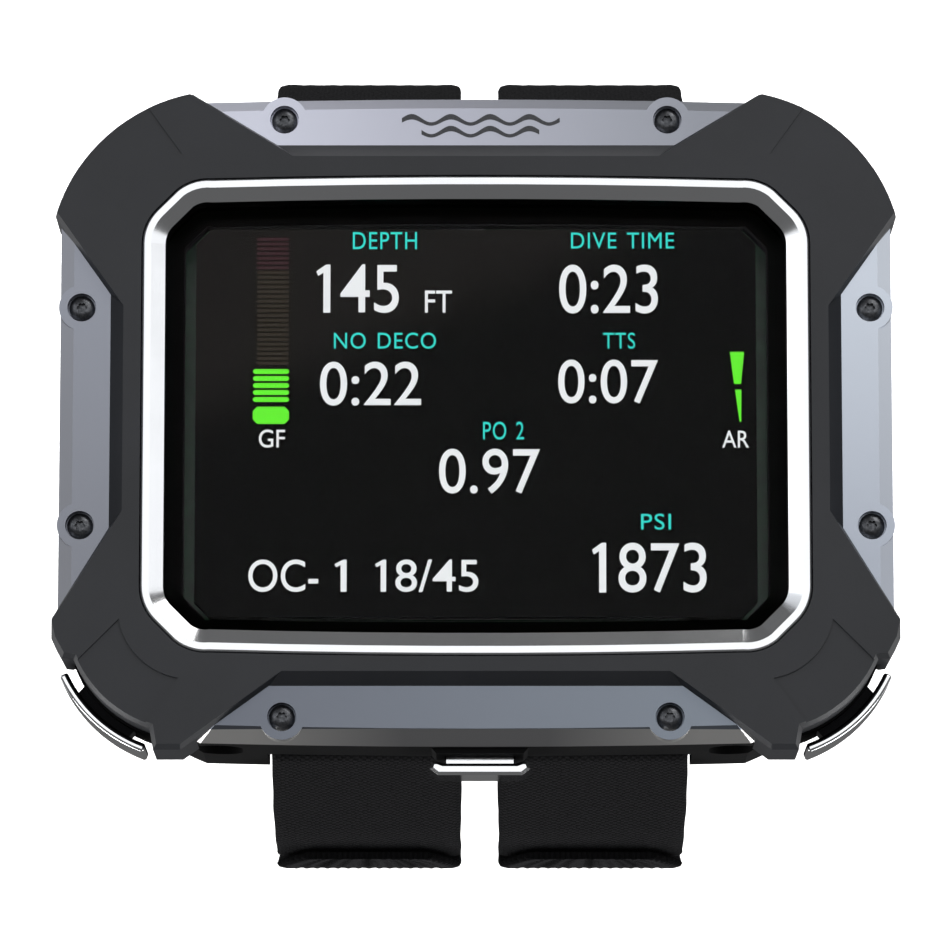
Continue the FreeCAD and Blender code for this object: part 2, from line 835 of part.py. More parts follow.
def make_key_cap(key):
    """The metal cap and its flat neck, as one piece, with a socket for the plunger."""
    label = f"{key.name}_key"
    if key.name == "middle":
        half, tall = size.middle_key_wide / 2, size.middle_key_tall / 2
        cap_z = -(size.case_height / 2 + size.boss_rise + size.key_stop_gap)
        lip, ear = size.middle_key_thick, size.middle_key_ear
        shape = [
            (size.middle_key_x - half + 0.9, cap_z - lip),
            (size.middle_key_x + half - 0.9, cap_z - lip),
            (size.middle_key_x + half, cap_z - lip * 0.45),
            (size.middle_key_x + half - 0.3, cap_z + ear),
            (size.middle_key_x + half - 0.9, cap_z + ear),
            (size.middle_key_x + half - 1.5, cap_z),
            (size.middle_key_x - half + 1.5, cap_z),
            (size.middle_key_x - half + 0.9, cap_z + ear),
            (size.middle_key_x - half + 0.3, cap_z + ear),
            (size.middle_key_x - half, cap_z - lip * 0.45),
        ]
        front = size.middle_key_depth - size.middle_cap_shift - tall
        body = plate(f"{label}_cap", shape, front, tall * 2)
        dress(body, "Chamfer", f"{label}_edge", lambda e: on_plane(e, at(front)), 0.35)
        inner = key.surface + size.key_stop_gap
    else:
        across = -1 if key.name == "left" else 1
        outer = size.corner_key_radius
        inner = outer - size.corner_key_thick
        shape = sector_outline(inner, outer, size.corner_key_span, across)
        front = size.corner_key_depth - size.corner_key_tall / 2
        body = plate(f"{label}_cap", shape, front, size.corner_key_tall)
        ends = (at(front), at(front + size.corner_key_tall))
        dress(
            body, "Fillet", f"{label}_edge",
            lambda e: on_plane(e, ends[0]) or on_plane(e, ends[1]) or e.Length > 6.5 and not on_arc(e), 0.3,
        )  # fmt: skip
    neck_tall = inner - key.surface + NECK_IN
    start = key.point(inner + 0.3)
    neck = block_tool(
        f"{key.name}_neck", size.key_neck_wide, size.key_neck_thick, neck_tall + 0.3, start, key.turn
    )
    whole = doc.addObject("Part::Fuse", f"{label}_whole")
    whole.Base = body
    whole.Tool = neck
    doc.recompute()
    socket = cylinder_tool(
        f"{key.name}_socket", size.plunger_radius * 0.6, 1.2,
        key.point(key.surface - NECK_IN + 1.1), key.inward,
    )  # fmt: skip
    return keep(cut_away(label, whole, [socket]), label)


def on_arc(edge):
    return "Circle" in str(edge.Curve)


def make_plunger(key):
    """The steel pin behind a key, with grooves for its seal and its clip."""
    radius = size.plunger_radius
    head = key.surface - NECK_IN
    tip = wall_face(key) - size.plunger_tip
    length = head - tip
    wall = head - wall_face(key)
    seal = wall - 1.8
    groove = radius - SEAL_RADIUS * 2 + size.plunger_gap / 2
    clip = wall + 0.02
    slot = radius - 0.4
    spigot = radius * 0.6 - 0.01
    profile = [
        (0.0, -1.0), (spigot, -1.0), (spigot, 0.0), (radius, 0.0),
        (radius, seal - 0.4), (groove, seal - 0.4), (groove, seal + 0.4), (radius, seal + 0.4),
        (radius, clip), (slot, clip), (slot, clip + CLIP_THICK + 0.02), (radius, clip + CLIP_THICK + 0.02),
        (radius, length - 0.3), (radius - 0.3, length), (0.0, length),
    ]  # fmt: skip
    label = f"{key.name}_plunger"
    body = turned(label, profile)
    start = key.point(head)
    body.Placement = Placement(start, Rotation(Vector(0, 0, 1), key.inward))
    keep(body, label)
    ring = doc.addObject("Part::Torus", f"{key.name}_plunger_seal")
    bind(ring, "Radius1", groove + SEAL_RADIUS)
    bind(ring, "Radius2", as_size(SEAL_RADIUS - 0.01))
    ring.Placement = Placement(key.point(head - seal), Rotation(Vector(0, 0, 1), key.inward))
    keep(ring, f"{key.name}_plunger_seal")
    make_clip(key, slot, head - clip - 0.01)
    return body


def make_clip(key, slot, reach):
    """The open retaining clip that stops the plunger at the cavity wall."""
    label = f"{key.name}_clip"
    outer = size.plunger_radius + size.clip_proud
    disc = cylinder_tool(f"{label}_disc", outer, CLIP_THICK, key.point(reach), key.inward)
    hole = cylinder_tool(f"{label}_hole", slot + 0.02, 2.0, key.point(reach + 0.5), key.inward)
    mouth = block_tool(
        f"{label}_mouth", size.plunger_radius * 1.5, 6.0, 2.0, key.point(reach + 0.5), key.turn
    )
    mouth.Placement.Base = mouth.Placement.Base + Vector(0, 3.0, 0)
    keep(cut_away(label, disc, [hole, mouth]), label)


def make_spring(key):
    """The coil that pushes a key out, from the floor of its well to the neck."""
    floor = key.surface - POCKET_DEEP - WELL_DEEP
    length = as_size(WELL_DEEP + POCKET_DEEP - NECK_IN - 0.06) - size.spring_wire
    helix = doc.addObject("Part::Helix", f"{key.name}_coil")
    bind(helix, "Radius", size.spring_radius)
    bind(helix, "Height", length)
    bind(helix, "Pitch", length / size.spring_turns)
    wire = doc.addObject("Part::Circle", f"{key.name}_wire")
    bind(wire, "Radius", size.spring_wire / 2)
    wire.Placement = Placement(Vector(size.spring_radius.value, 0, 0), Rotation(Vector(1, 0, 0), 90))
    sweep = doc.addObject("Part::Sweep", f"{key.name}_spring")
    sweep.Sections = [wire]
    sweep.Spine = (helix, [])
    sweep.Solid = True
    sweep.Frenet = True
    doc.recompute()
    start = key.point(floor + size.spring_wire / 2 + 0.03)
    sweep.Placement = Placement(start, Rotation(Vector(0, 0, 1), key.outward))
    keep(sweep, f"{key.name}_spring")


def make_switches(keys):
    """One small dome switch on the board behind each plunger."""
    solids = []
    for key in keys:
        face = wall_face(key) - size.plunger_tip - size.key_travel - 0.05
        dome = cylinder_tool(f"{key.name}_dome", as_size(0.9), as_size(0.6), key.point(face), key.inward)
        base = block_tool(
            f"{key.name}_switch_base", as_size(3.2), size.board_depth - 0.01 - key.front, as_size(1.0),
            key.point(face - 0.5), key.turn,
        )  # fmt: skip
        shift = (size.board_depth - 0.01 + key.front) / 2 - key.depth
        base.Placement.Base = base.Placement.Base + Vector(0, float(shift), 0)
        switch = doc.addObject("Part::Fuse", f"{key.name}_switch")
        switch.Base = dome
        switch.Tool = base
        solids.append(switch)
    group = doc.addObject("Part::Compound", "button_switches")
    group.Links = solids
    doc.recompute()
    return keep(group, "button_switches")


# ---- case, cover and seal --------------------------------------------------


def strap_middles():
    return [size.middle_key_x - size.strap_x, size.middle_key_x + size.strap_x]


def make_case(keys):
    body = new_body("mid_case_blank")
    pad(body, "case_block", case_outline(), size.frame_thick, size.shell_back - size.frame_thick)
    add_key_bosses(body)
    seat = size.glass_front + size.glass_thick + size.gasket_thick
    pocket(
        body, "glass_seat", window_outline(size.fit_gap), size.frame_thick, seat - size.frame_thick
    )
    opening = glass_inset() - size.glass_ledge
    pocket(body, "display_opening", window_outline(opening), seat, size.cavity_front - seat + 0.5)
    pocket(body, "cavity", cavity_outline(), size.cavity_front, size.shell_back - size.cavity_front)
    shank = tuple((x, z, size.screw_shank + 0.02) for x, z in screw_places())
    hole_deep = size.screw_sink + size.screw_length - size.frame_thick + 0.4
    pocket(body, "face_screw_holes", shank, size.frame_thick, hole_deep)
    for middle, side in zip(strap_middles(), ("left", "right")):
        for up in (-1, 1):
            half = size.strap_width / 2 + size.strap_side_gap
            edge = size.strap_channel_z * up
            outer = (size.case_height / 2 + 2) * up
            tall = (size.case_height / 2 + 2 - size.strap_channel_z) / 2
            shape = rectangle(middle, (edge + outer) / 2, half, tall)
            name = f"channel_{side}_{'lower' if up < 0 else 'upper'}"
            length = size.shell_back - size.strap_channel_front
            pocket(body, name, shape, size.strap_channel_front, length)
    holes = tuple((x, z, as_size(0.72)) for x, z in cover_screw_places())
    pocket(body, "cover_screw_holes", holes, size.shell_back - 6.0, as_size(6.0))
    groove = new_body("seal_groove")
    floor, deep = size.shell_back - 0.7, as_size(0.7)
    pad(groove, "groove_outer", cavity_outline(-(size.seal_inset + size.seal_wide)), floor, deep)
    pocket(groove, "groove_inner", cavity_outline(-size.seal_inset), floor, deep)
    tools = [groove]
    for key in keys:
        tools += key_cutters(key)
    tools += pin_tools(size.strap_pin_radius + 0.02, size.strap_pin_seat + 0.05, "pin_hole")
    tools += lanyard_tools()
    return keep(cut_away("mid_case", body, tools), "mid_case")


def add_key_bosses(body):
    """The pads on the case that the keys slide in."""
    inner = size.corner_key_radius - size.corner_key_thick - size.key_stop_gap
    front = size.corner_key_depth - size.corner_key_tall / 2 + 0.4
    for across in (-1, 1):
        shape = sector_outline(inner - 4.0, inner, size.corner_key_span + 1.2, across)
        pad(body, f"boss_{'left' if across < 0 else 'right'}", shape, front, size.corner_key_tall - 0.8)
    low = size.case_height / 2 + size.boss_rise
    half = size.key_neck_wide / 2 + 1.1
    x = size.middle_key_x
    shape = [
        (x - half - 1.2, -(low - size.boss_rise - 0.8)), (x + half + 1.2, -(low - size.boss_rise - 0.8)),
        (x + half, -low), (x - half, -low),
    ]  # fmt: skip
    pad(body, "boss_middle", shape, size.frame_thick + 1.0, size.strap_channel_front - size.frame_thick - 1.0)


def pin_middles():
    """(x, z) of the middle of each of the four strap pins."""
    return [(x, size.strap_pin_z * up) for x in strap_middles() for up in (-1, 1)]


def pin_tools(radius, seat, name):
    tools = []
    reach = size.strap_width + size.strap_side_gap * 2 + seat * 2
    for i, (x, z) in enumerate(pin_middles()):
        start = Vector(float(x - reach / 2), float(at(size.strap_pin_depth)), float(z))
        tools.append(cylinder_tool(f"{name}_{i}", radius, reach, start, Vector(1, 0, 0)))
    return tools


def make_strap_pins():
    group = doc.addObject("Part::Compound", "strap_pins")
    group.Links = pin_tools(size.strap_pin_radius, size.strap_pin_seat, "strap_pin")
    doc.recompute()
    return keep(group, "strap_pins")


def lanyard_places():
    return [(size.lanyard_x * across, up) for across in (-1, 1) for up in (-1, 1)]


def lanyard_tools():
    """Round-ended slots in the case's top and bottom, with holes for a bar across each."""
    tools = []
    for i, (x, up) in enumerate(lanyard_places()):
        radius = size.lanyard_wide / 2
        outer = size.case_height / 2 + 1
        straight = size.lanyard_long / 2 - radius
        for j, along in enumerate((-1, 1)):
            start = Vector(float(x), float(at(size.lanyard_depth + straight * along)), float(outer * up))
            tools.append(
                cylinder_tool(f"lanyard_end_{i}{j}", radius, size.lanyard_deep + 1, start, Vector(0, 0, -up))
            )
        start = Vector(float(x), float(at(size.lanyard_depth)), float(outer * up))
        turn = Rotation(Vector(0, 0, 1), Vector(0, 0, -up))
        tools.append(
            block_tool(
                f"lanyard_slot_{i}", size.lanyard_wide, straight * 2, size.lanyard_deep + 1, start, turn
            )
        )
        tools.append(lanyard_bar(f"lanyard_bar_hole_{i}", x, up, size.lanyard_bar + 0.02, 1.1))
    return tools


def lanyard_bar(name, x, up, radius, seat):
    length = size.lanyard_wide + 2 * seat
    z = (size.case_height / 2 - size.lanyard_bar - 1.2) * up
    start = Vector(float(x - length / 2), float(at(size.lanyard_depth)), float(z))
    return cylinder_tool(name, radius, length, start, Vector(1, 0, 0))


def make_lanyard_bars():
    group = doc.addObject("Part::Compound", "lanyard_bars")
    group.Links = [
        lanyard_bar(f"lanyard_bar_{i}", x, up, size.lanyard_bar, 1.05)
        for i, (x, up) in enumerate(lanyard_places())
    ]
    doc.recompute()
    return keep(group, "lanyard_bars")


def cover_screw_places():
    pairs = ((size.cover_screw_x, size.cover_screw_z), (size.corner_screw_x, size.corner_screw_z))
    return [(x * across, z * up) for x, z in pairs for across in (-1, 1) for up in (-1, 1)]


def cover_outline(inset=0.0):
    cut = size.cover_corner - SQUARE_CUT * as_size(inset)
    return cut_rectangle(size.cover_across - inset, size.cover_up - inset, cut)


def make_cover():
    """The rear cover: a plate with bevelled edges, a sensor port and a contact port."""
    body = new_body("rear_cover")
    thick = size.case_depth - size.shell_back
    bevel = size.cover_edge
    pad(body, "cover_block", cover_outline(), size.shell_back, thick - bevel)
    back = size.case_depth
    taper(body, "cover_bevel", cover_outline(), back - bevel, cover_outline(bevel), back)
    heads = tuple((x, z, as_size(1.45)) for x, z in cover_screw_places())
    pocket(body, "cover_screw_heads", heads, size.shell_back + 2.0, thick - 2.0)
    holes = tuple((x, z, as_size(0.9)) for x, z in cover_screw_places())
    pocket(body, "cover_screw_holes_through", holes, size.shell_back, thick)
    port = ((size.sensor_x, as_size(0.0), size.sensor_radius + size.fit_gap),)
    pocket(body, "sensor_port", port, size.shell_back + 1.4, thick - 1.4)
    bore = ((size.sensor_x, as_size(0.0), size.sensor_radius - 1.4),)
    pocket(body, "sensor_bore", bore, size.shell_back, thick)
    spare = size.fit_gap / 2
    block = rounded_slot(size.contact_x, 0.0, contact_half() + spare, as_size(2.4) + spare)
    pocket(body, "contact_port", block, size.shell_back, thick)
    inside = rectangle(as_size(0.0), as_size(0.0), size.foam_across + 0.8, size.foam_up + 0.8)
    pocket(body, "foam_relief", inside, size.shell_back, as_size(1.2))
    return keep(body, "rear_cover")


def contact_half():
    return size.contact_pitch * 1.5 + 2.4


def rounded_slot(x, z, half_long, radius):
    """A slot that stands up, with round ends."""
    x, z = as_size(x), as_size(z)
    end = half_long - radius
    return [
        (x - radius, z + end), (x - radius, z - end, radius),
        (x + radius, z - end), (x + radius, z + end, radius),
    ]  # fmt: skip


def make_cover_screws():
    """Eight countersunk-in screws that hold the rear cover."""
    profile = [
        (0.0, 0.0), (0.7, 0.0), (0.7, 7.0), (1.3, 7.0), (1.3, 7.7),
        (1.05, 8.0), (0.55, 8.0), (0.55, 7.3), (0.0, 7.3),
    ]  # fmt: skip
    screw = turned("cover_screw", profile)
    places = []
    for x, z in cover_screw_places():
        base = Vector(float(x), float(at(size.shell_back + 2.0)) - 7.0, float(z))
        places.append(Placement(base, Rotation(Vector(0, 0, 1), Vector(0, 1, 0))))
    return copies("rear_screws", screw, places)


def make_cover_seal():
    body = new_body("cover_seal")
    depth = size.shell_back - 0.68
    outer = cavity_outline(-(size.seal_inset + size.seal_wide - 0.02))
    pad(body, "seal_blank", outer, depth, as_size(0.66))
    pocket(body, "seal_hole", cavity_outline(-(size.seal_inset + 0.02)), depth, as_size(0.66))
    return keep(body, "cover_seal")


def make_sensor():
    """The depth sensor behind its vented guard disc."""
    x = size.sensor_x
    guard = new_body("sensor_guard")
    front = size.shell_back + 2.65
    pad(guard, "guard_disc", ((x, as_size(0.0), size.sensor_radius),), front, as_size(2.1))
    holes = [(x, as_size(0.0), as_size(0.55))]
    for turn in range(6):
        angle = math.radians(60 * turn)
        holes.append((x + 2.4 * math.cos(angle), as_size(2.4 * math.sin(angle)), as_size(0.55)))
    pocket(guard, "guard_holes", tuple(holes), front, as_size(2.1))
    keep(guard, "sensor_guard")
    profile = [
        (0.0, 0.0), (3.4, 0.0), (3.4, 1.6), (2.6, 1.6), (2.6, 4.2), (0.0, 4.2),
    ]  # fmt: skip
    sensor = turned("depth_sensor", profile)
    base = Vector(float(x), float(at(size.shell_back - 1.9)), 0)
    sensor.Placement = Placement(base, Rotation(Vector(0, 0, 1), Vector(0, 1, 0)))
    keep(sensor, "depth_sensor")
    ring = doc.addObject("Part::Torus", "sensor_seal")
    bind(ring, "Radius1", as_size(4.15))
    bind(ring, "Radius2", as_size(0.6))
    ring.Placement = Placement(
        Vector(float(x), float(at(size.shell_back + 2.03)), 0), Rotation(Vector(0, 0, 1), Vector(0, 1, 0))
    )
    keep(ring, "sensor_seal")


def make_contacts():
    """The insulating block in the cover and its four plated charging pins."""
    x = size.contact_x
    deep = as_size(4.9)
    outline = rounded_slot(x, 0.0, contact_half(), as_size(2.4))
    block = plate("contact_block", outline, size.shell_back, deep)
    spots = [size.contact_pitch * step for step in (-1.5, -0.5, 0.5, 1.5)]
    bores = tuple((x, z, size.contact_radius + 0.02) for z in spots)
    pocket(block, "pin_bores", bores, size.shell_back, deep)
    keep(block, "contact_block")
    radius = size.contact_radius
    pin = turned("contact_pin", [(0.0, 0.0), (radius, 0.0), (radius, 6.2), (radius - 0.3, 6.5), (0.0, 6.5)])
    places = []
    for z in spots:
        base = Vector(float(x), float(at(size.shell_back - 1.75)), float(z))
        places.append(Placement(base, Rotation(Vector(0, 0, 1), Vector(0, 1, 0))))
    copies("charging_contacts", pin, places)


# ---- straps ----------------------------------------------------------------


def arc_cosine(ratio):
    return Size(math.degrees(math.acos(ratio.value)), f"(acos({ratio.text}) / 1 deg)")


def direction(across, up):
    """The angle in degrees of a vector given by its two parts."""
    value = math.degrees(math.atan2(up.value, across.value))
    return Size(value, f"(atan2({up.text}; {across.text}) / 1 deg)")


def root(number):
    return Size(math.sqrt(number.value), f"sqrt({number.text})")


def add_strap_sizes():
    """Works out the strap's side view in (y, z): where its arcs and its straight parts meet."""
    derived("loop_side_up", size.wrist_side_z - size.wrist_side_radius)
    derived("pin_y", at(size.strap_pin_depth))
    derived("pin_wrap", size.strap_pin_radius + 0.05)
    reach = size.wrist_back_y - size.wrist_side_radius
    side_y, side_z = size.wrist_side_y, size.loop_side_up
    derived("loop_back_y", (reach * reach - side_y * side_y - side_z * side_z) / (2 * (reach - side_y)))
    derived("loop_back_radius", size.wrist_back_y - size.loop_back_y)
    derived("loop_meet", direction(side_y - size.loop_back_y, side_z))
    gap_y = side_y - size.pin_y
    low_z = size.strap_pin_z - side_z - size.wrist_drop
    high_z = side_z - size.wrist_drop - size.strap_pin_z
    low_length = root(gap_y * gap_y + low_z * low_z)
    high_length = root(gap_y * gap_y + high_z * high_z)
    radius, wrap, thick = size.wrist_side_radius, size.pin_wrap, size.strap_thick
    derived("lean_low", direction(gap_y, low_z) - arc_cosine((wrap - radius) / low_length))
    derived("lean_high", direction(gap_y, high_z) + arc_cosine(-(radius + wrap + thick) / high_length))
    fold = radius + thick + size.layer_gap
    derived("lean_fold", direction(gap_y, high_z) + arc_cosine((wrap - fold) / high_length))
    doc.recompute()


def polar(centre, radius, angle):
    angle = as_size(angle)
    return (centre[0] + radius * cosine(angle), centre[1] + radius * sine(angle))


def run(centre, radius, start, end):
    """The (y, z, radius) points of an arc up to, but not including, its end, in steps under a half turn."""
    radius = as_size(radius)
    turn = radius if float(as_size(end)) > float(as_size(start)) else -radius
    middle = (as_size(start) + end) / 2
    return [(*polar(centre, radius, start), turn), (*polar(centre, radius, middle), turn)]


def strap_centres():
    """The centres of the strap's arcs: lower pin, lower side, back, upper side, upper pin."""
    drop = size.wrist_drop
    return (
        (size.pin_y, -size.strap_pin_z),
        (size.wrist_side_y, -(size.loop_side_up + drop)),
        (size.loop_back_y, -drop),
        (size.wrist_side_y, size.loop_side_up - drop),
        (size.pin_y, size.strap_pin_z),
    )


def loop_run(lift, low, high):
    """The outline points of one surface of the loop, from the angle low below to the angle high above."""
    _, side_low, back, side_high, _ = strap_centres()
    side, meet = size.wrist_side_radius + lift, size.loop_meet
    return (
        run(side_low, side, low, -meet)
        + run(back, size.loop_back_radius + lift, -meet, meet)
        + run(side_high, side, meet, high)
        + [polar(side_high, side, high)]
    )


def backward(points, last):
    """The same outline points in the other direction, ending at the point last."""
    ends = [p[:2] for p in points] + [last]
    turns = [p[2:] for p in points]
    made = []
    for i in range(len(points), 0, -1):
        made.append((*ends[i], *[-t for t in turns[i - 1]]))
    return made


def strap_outline():
    """The webbing from its sewn end, round the lower pin and the wrist, to the front of the upper pin."""
    pin_low, _, _, _, pin_high = strap_centres()
    wrap, thick = size.pin_wrap, size.strap_thick
    low, high = size.lean_low, size.lean_high
    sewn = low - SEWN_TURN
    along = sewn - 90
    tip = polar(polar(pin_low, wrap, sewn), size.sewn_length, along)
    tip_far = polar(tip, thick, sewn)
    inner = (
        [tip]
        + run(pin_low, wrap, sewn, low)
        + [polar(pin_low, wrap, low)]
        + loop_run(as_size(0.0), low, high)
        + run(pin_high, wrap + thick, high + 180, as_size(FOLD_ANGLE))
    )
    outer = (
        [tip_far]
        + run(pin_low, wrap + thick, sewn, low)
        + [polar(pin_low, wrap + thick, low)]
        + loop_run(thick, low, high)
        + run(pin_high, wrap, high + 180, as_size(FOLD_ANGLE))
    )
    inner_end = polar(pin_high, wrap + thick, FOLD_ANGLE)
    outer_end = polar(pin_high, wrap, FOLD_ANGLE)
    return inner + [inner_end] + backward(outer, outer_end) + [tip_far]


def fold_outline():
    """The webbing folded back from the front of the upper pin, over the loop, to its free end."""
    _, _, _, _, pin_high = strap_centres()
    wrap, thick, lean = size.pin_wrap, size.strap_thick, size.lean_fold
    fold = thick + size.layer_gap
    inner = loop_run(fold, -size.tail_angle, lean) + run(pin_high, wrap, lean, as_size(FOLD_ANGLE))
    outer = loop_run(fold + thick, -size.tail_angle, lean)
    outer += run(pin_high, wrap + thick, lean, as_size(FOLD_ANGLE))
    inner_end = polar(pin_high, wrap, FOLD_ANGLE)
    outer_end = polar(pin_high, wrap + thick, FOLD_ANGLE)
    return inner + [inner_end] + backward(outer, outer_end) + [outer[0][:2]]


def web(body, name, outline, middle, width):
    """Pads a side-view outline across the strap's width."""
    sketch = new_sketch(body, f"{name}_sketch", "YZ_Plane", middle - width / 2)
    add_outline(sketch, outline)
    made = body.newObject("PartDesign::Pad", name)
    made.Profile = sketch
    bind(made, "Length", width)
    body.Tip = made
    doc.recompute()
    return made


def make_strap(side, middle):
    """One pull-through strap as a single piece, with a tapered free end."""
    label = f"{side}_strap"
    loop = new_body(f"{label}_loop")
    web(loop, f"{label}_loop_pad", strap_outline(), middle, size.strap_width)
    fold = new_body(f"{label}_fold")
    web(fold, f"{label}_fold_pad", fold_outline(), middle, size.strap_width)
    _, side_low, _, _, _ = strap_centres()
    radius = size.wrist_side_radius + size.strap_thick * 2 + size.layer_gap
    end_y, end_z = polar(side_low, radius, -size.tail_angle)
    half, taper_y = size.strap_width / 2, size.tail_taper
    rise, across_tip = taper_y - 0.4, size.tail_corner
    turn = (rise * rise + across_tip * across_tip) / (across_tip * 1.9)
    sketch = new_sketch(fold, f"{label}_tip_sketch", "XY_Plane", end_z - 4.0)
    for across in (-1, 1):
        add_outline(sketch, [
            (middle + half * across, end_y + taper_y, turn if across < 0 else -turn),
            (middle + (half - across_tip) * across, end_y + 0.4),
            (middle + (half - across_tip) * across, end_y - 3.0),
            (middle + (half + 2.0) * across, end_y - 3.0),
            (middle + (half + 2.0) * across, end_y + taper_y),
        ])  # fmt: skip
    cut = fold.newObject("PartDesign::Pocket", f"{label}_tip")
    cut.Profile = sketch
    bind(cut, "Length", as_size(8.0))
    cut.Reversed = True
    fold.Tip = cut
    whole = doc.addObject("Part::Fuse", label)
    whole.Base = loop
    whole.Tool = fold
    doc.recompute()
    keep(whole, label)
    make_hook_patch(side, middle)


def make_hook_patch(side, middle):
    """The hook patch sewn under the free end, between the two layers."""
    _, side_low, back, _, _ = strap_centres()
    low = size.wrist_side_radius + size.strap_thick + 0.02
    thick = size.layer_gap - 0.04
    start, meet, end = -(size.tail_angle - 4), -size.loop_meet, -size.patch_angle
    shift = size.loop_back_radius - size.wrist_side_radius
    inner = run(side_low, low, start, meet) + run(back, low + shift, meet, end)
    outer = run(side_low, low + thick, start, meet) + run(back, low + thick + shift, meet, end)
    inner_end = polar(back, low + shift, end)
    outer_end = polar(back, low + thick + shift, end)
    body = new_body(f"{side}_hook_patch")
    outline = inner + [inner_end] + backward(outer, outer_end) + [outer[0][:2]]
    web(body, f"{side}_patch_pad", outline, middle, size.strap_width - 7)
    return keep(body, f"{side}_hook_patch")


def add_arc(sketch, start, end, radius):
    """Draws the arc from start to end, its centre on the left for a positive radius, else on the right."""
    chord = end - start
    reach = math.sqrt(max(radius * radius - chord.Length * chord.Length / 4, 0.0))
    left = Vector(-chord.y, chord.x, 0).normalize()
    centre = (start + end) * 0.5 + left * math.copysign(reach, radius)
    first, last = (start, end) if radius > 0 else (end, start)
    begin = math.atan2(first.y - centre.y, first.x - centre.x)
    finish = math.atan2(last.y - centre.y, last.x - centre.x)
    if finish < begin:
        finish += 2 * math.pi
    circle = Part.Circle(centre, Vector(0, 0, 1), abs(radius))
    sketch.addGeometry(Part.ArcOfCircle(circle, begin, finish), False)


def hold(sketch, kind, name, number, index, place=None):
    """Adds one named dimension to a sketch and binds it to its size."""
    number = as_size(number)
    if place is None:
        made = Sketcher.Constraint(kind, index, number.value)
    else:
        made = Sketcher.Constraint(kind, -1, 1, index, place, number.value)
    row = sketch.addConstraint(made)
    sketch.renameConstraint(row, name)
    sketch.setExpression(f"Constraints.{name}", number.text)


def taper(body, name, front_shape, front, back_shape, back):
    """Blends one outline at the depth front into another at the depth back."""
    first = new_sketch(body, f"{name}_front", "XZ_Plane", at(front))
    add_shape(first, front_shape)
    second = new_sketch(body, f"{name}_back", "XZ_Plane", at(back))
    add_shape(second, back_shape)
    made = body.newObject("PartDesign::AdditiveLoft", name)
    made.Profile = first
    made.Sections = [second]
    made.Ruled = True
    body.Tip = made
    doc.recompute()
    return made


def corner(row, slope):
    x, z, move_x, move_z, *arc = row
    point = (x + slope * move_x, z + slope * move_z)
    return (*point, -(arc[0] + slope * arc[1])) if arc else point


def make_display():
    """The panel and its backlight behind the glass, and the flat cable down to the board."""
    zero = as_size(0.0)
    front = size.glass_front + size.glass_thick + size.panel_gap
    across, up, cut = size.panel_across, size.panel_up, size.panel_corner
    keep(plate("lcd_panel", cut_rectangle(across, up, cut), front, size.panel_thick), "lcd_panel")
    behind = front + size.panel_thick + 0.02
    lamp = cut_rectangle(across - 0.2, up - 0.2, cut)
    keep(plate("backlight_unit", lamp, behind, size.backlight_thick), "backlight_unit")
    cable = behind + size.backlight_thick
    keep(
        box(
            "display_cable", zero, cable + 0.02, -(size.panel_up - 2), as_size(8.0),
            size.board_depth - cable - 0.04, as_size(0.15),
        ),
        "display_cable",
    )  # fmt: skip


def make_electronics():
    """The main board with its chips, the battery on foam, a vibration motor, a buzzer and the antenna."""
    zero = as_size(0.0)
    depth, thick = size.board_depth, size.board_thick
    across, up = size.board_across, size.board_up
    outline = cut_rectangle(across, up, as_size(3.0))
    keep(plate("main_board", outline, depth, thick), "main_board")
    back = depth + thick
    chips = doc.addObject("Part::Compound", "board_chips")
    spots = ((-12.0, 8.0, 5.0, 5.0), (6.0, -7.0, 3.5, 3.5), (20.0, 10.0, 3.0, 4.0), (-22.0, -12.0, 2.5, 3.0))
    chips.Links = [
        box(
            f"chip_{i}", as_size(x), back + 0.01, as_size(z),
            as_size(wide / 2), as_size(0.9), as_size(tall / 2),
        )  # fmt: skip
        for i, (x, z, wide, tall) in enumerate(spots)
    ]
    keep(chips, "board_chips")
    pack = size.battery_depth
    keep(
        box("battery_pack", zero, pack, zero, size.battery_across, size.battery_thick, size.battery_up),
        "battery_pack",
    )
    foam = pack + size.battery_thick + 0.02
    foam_deep = size.shell_back + 1.18 - foam
    keep(box("battery_foam", zero, foam, zero, size.foam_across, foam_deep, size.foam_up), "battery_foam")
    motor = plate("vibration_motor", ((across - 4.5, as_size(6.0), as_size(4.0)),), back + 0.01, as_size(2.7))
    keep(motor, "vibration_motor")
    buzzer = plate("buzzer", ((-(across - 4.5), as_size(9.0), as_size(4.2)),), back + 0.01, as_size(2.2))
    keep(buzzer, "buzzer")
    antenna = box(
        "radio_antenna", as_size(-8.0), depth - 1.21, up - 1.2, as_size(9.0), as_size(1.2), as_size(1.0)
    )
    keep(antenna, "radio_antenna")


def cut_rectangle(across, up, cut):
    """A rectangle about the origin with cut corners."""
    return [
        (-(across - cut), -up), (across - cut, -up), (across, -(up - cut)), (across, up - cut),
        (across - cut, up), (-(across - cut), up), (-across, up - cut), (-across, -(up - cut)),
    ]  # fmt: skip


def write_parts():
    os.makedirs("parts", exist_ok=True)
    for thing in doc.Objects:
        if "Invalid" in thing.State or "Error" in thing.State:
            raise RuntimeError(f"{thing.Label} did not compute: {thing.State}")
    for part in parts:
        shape = part.Shape
        if shape.isNull() or not shape.isValid() or not shape.Solids:
            raise RuntimeError(f"{part.Label} has no valid solid")
        shape.exportStep(f"parts/{part.Label}.step")


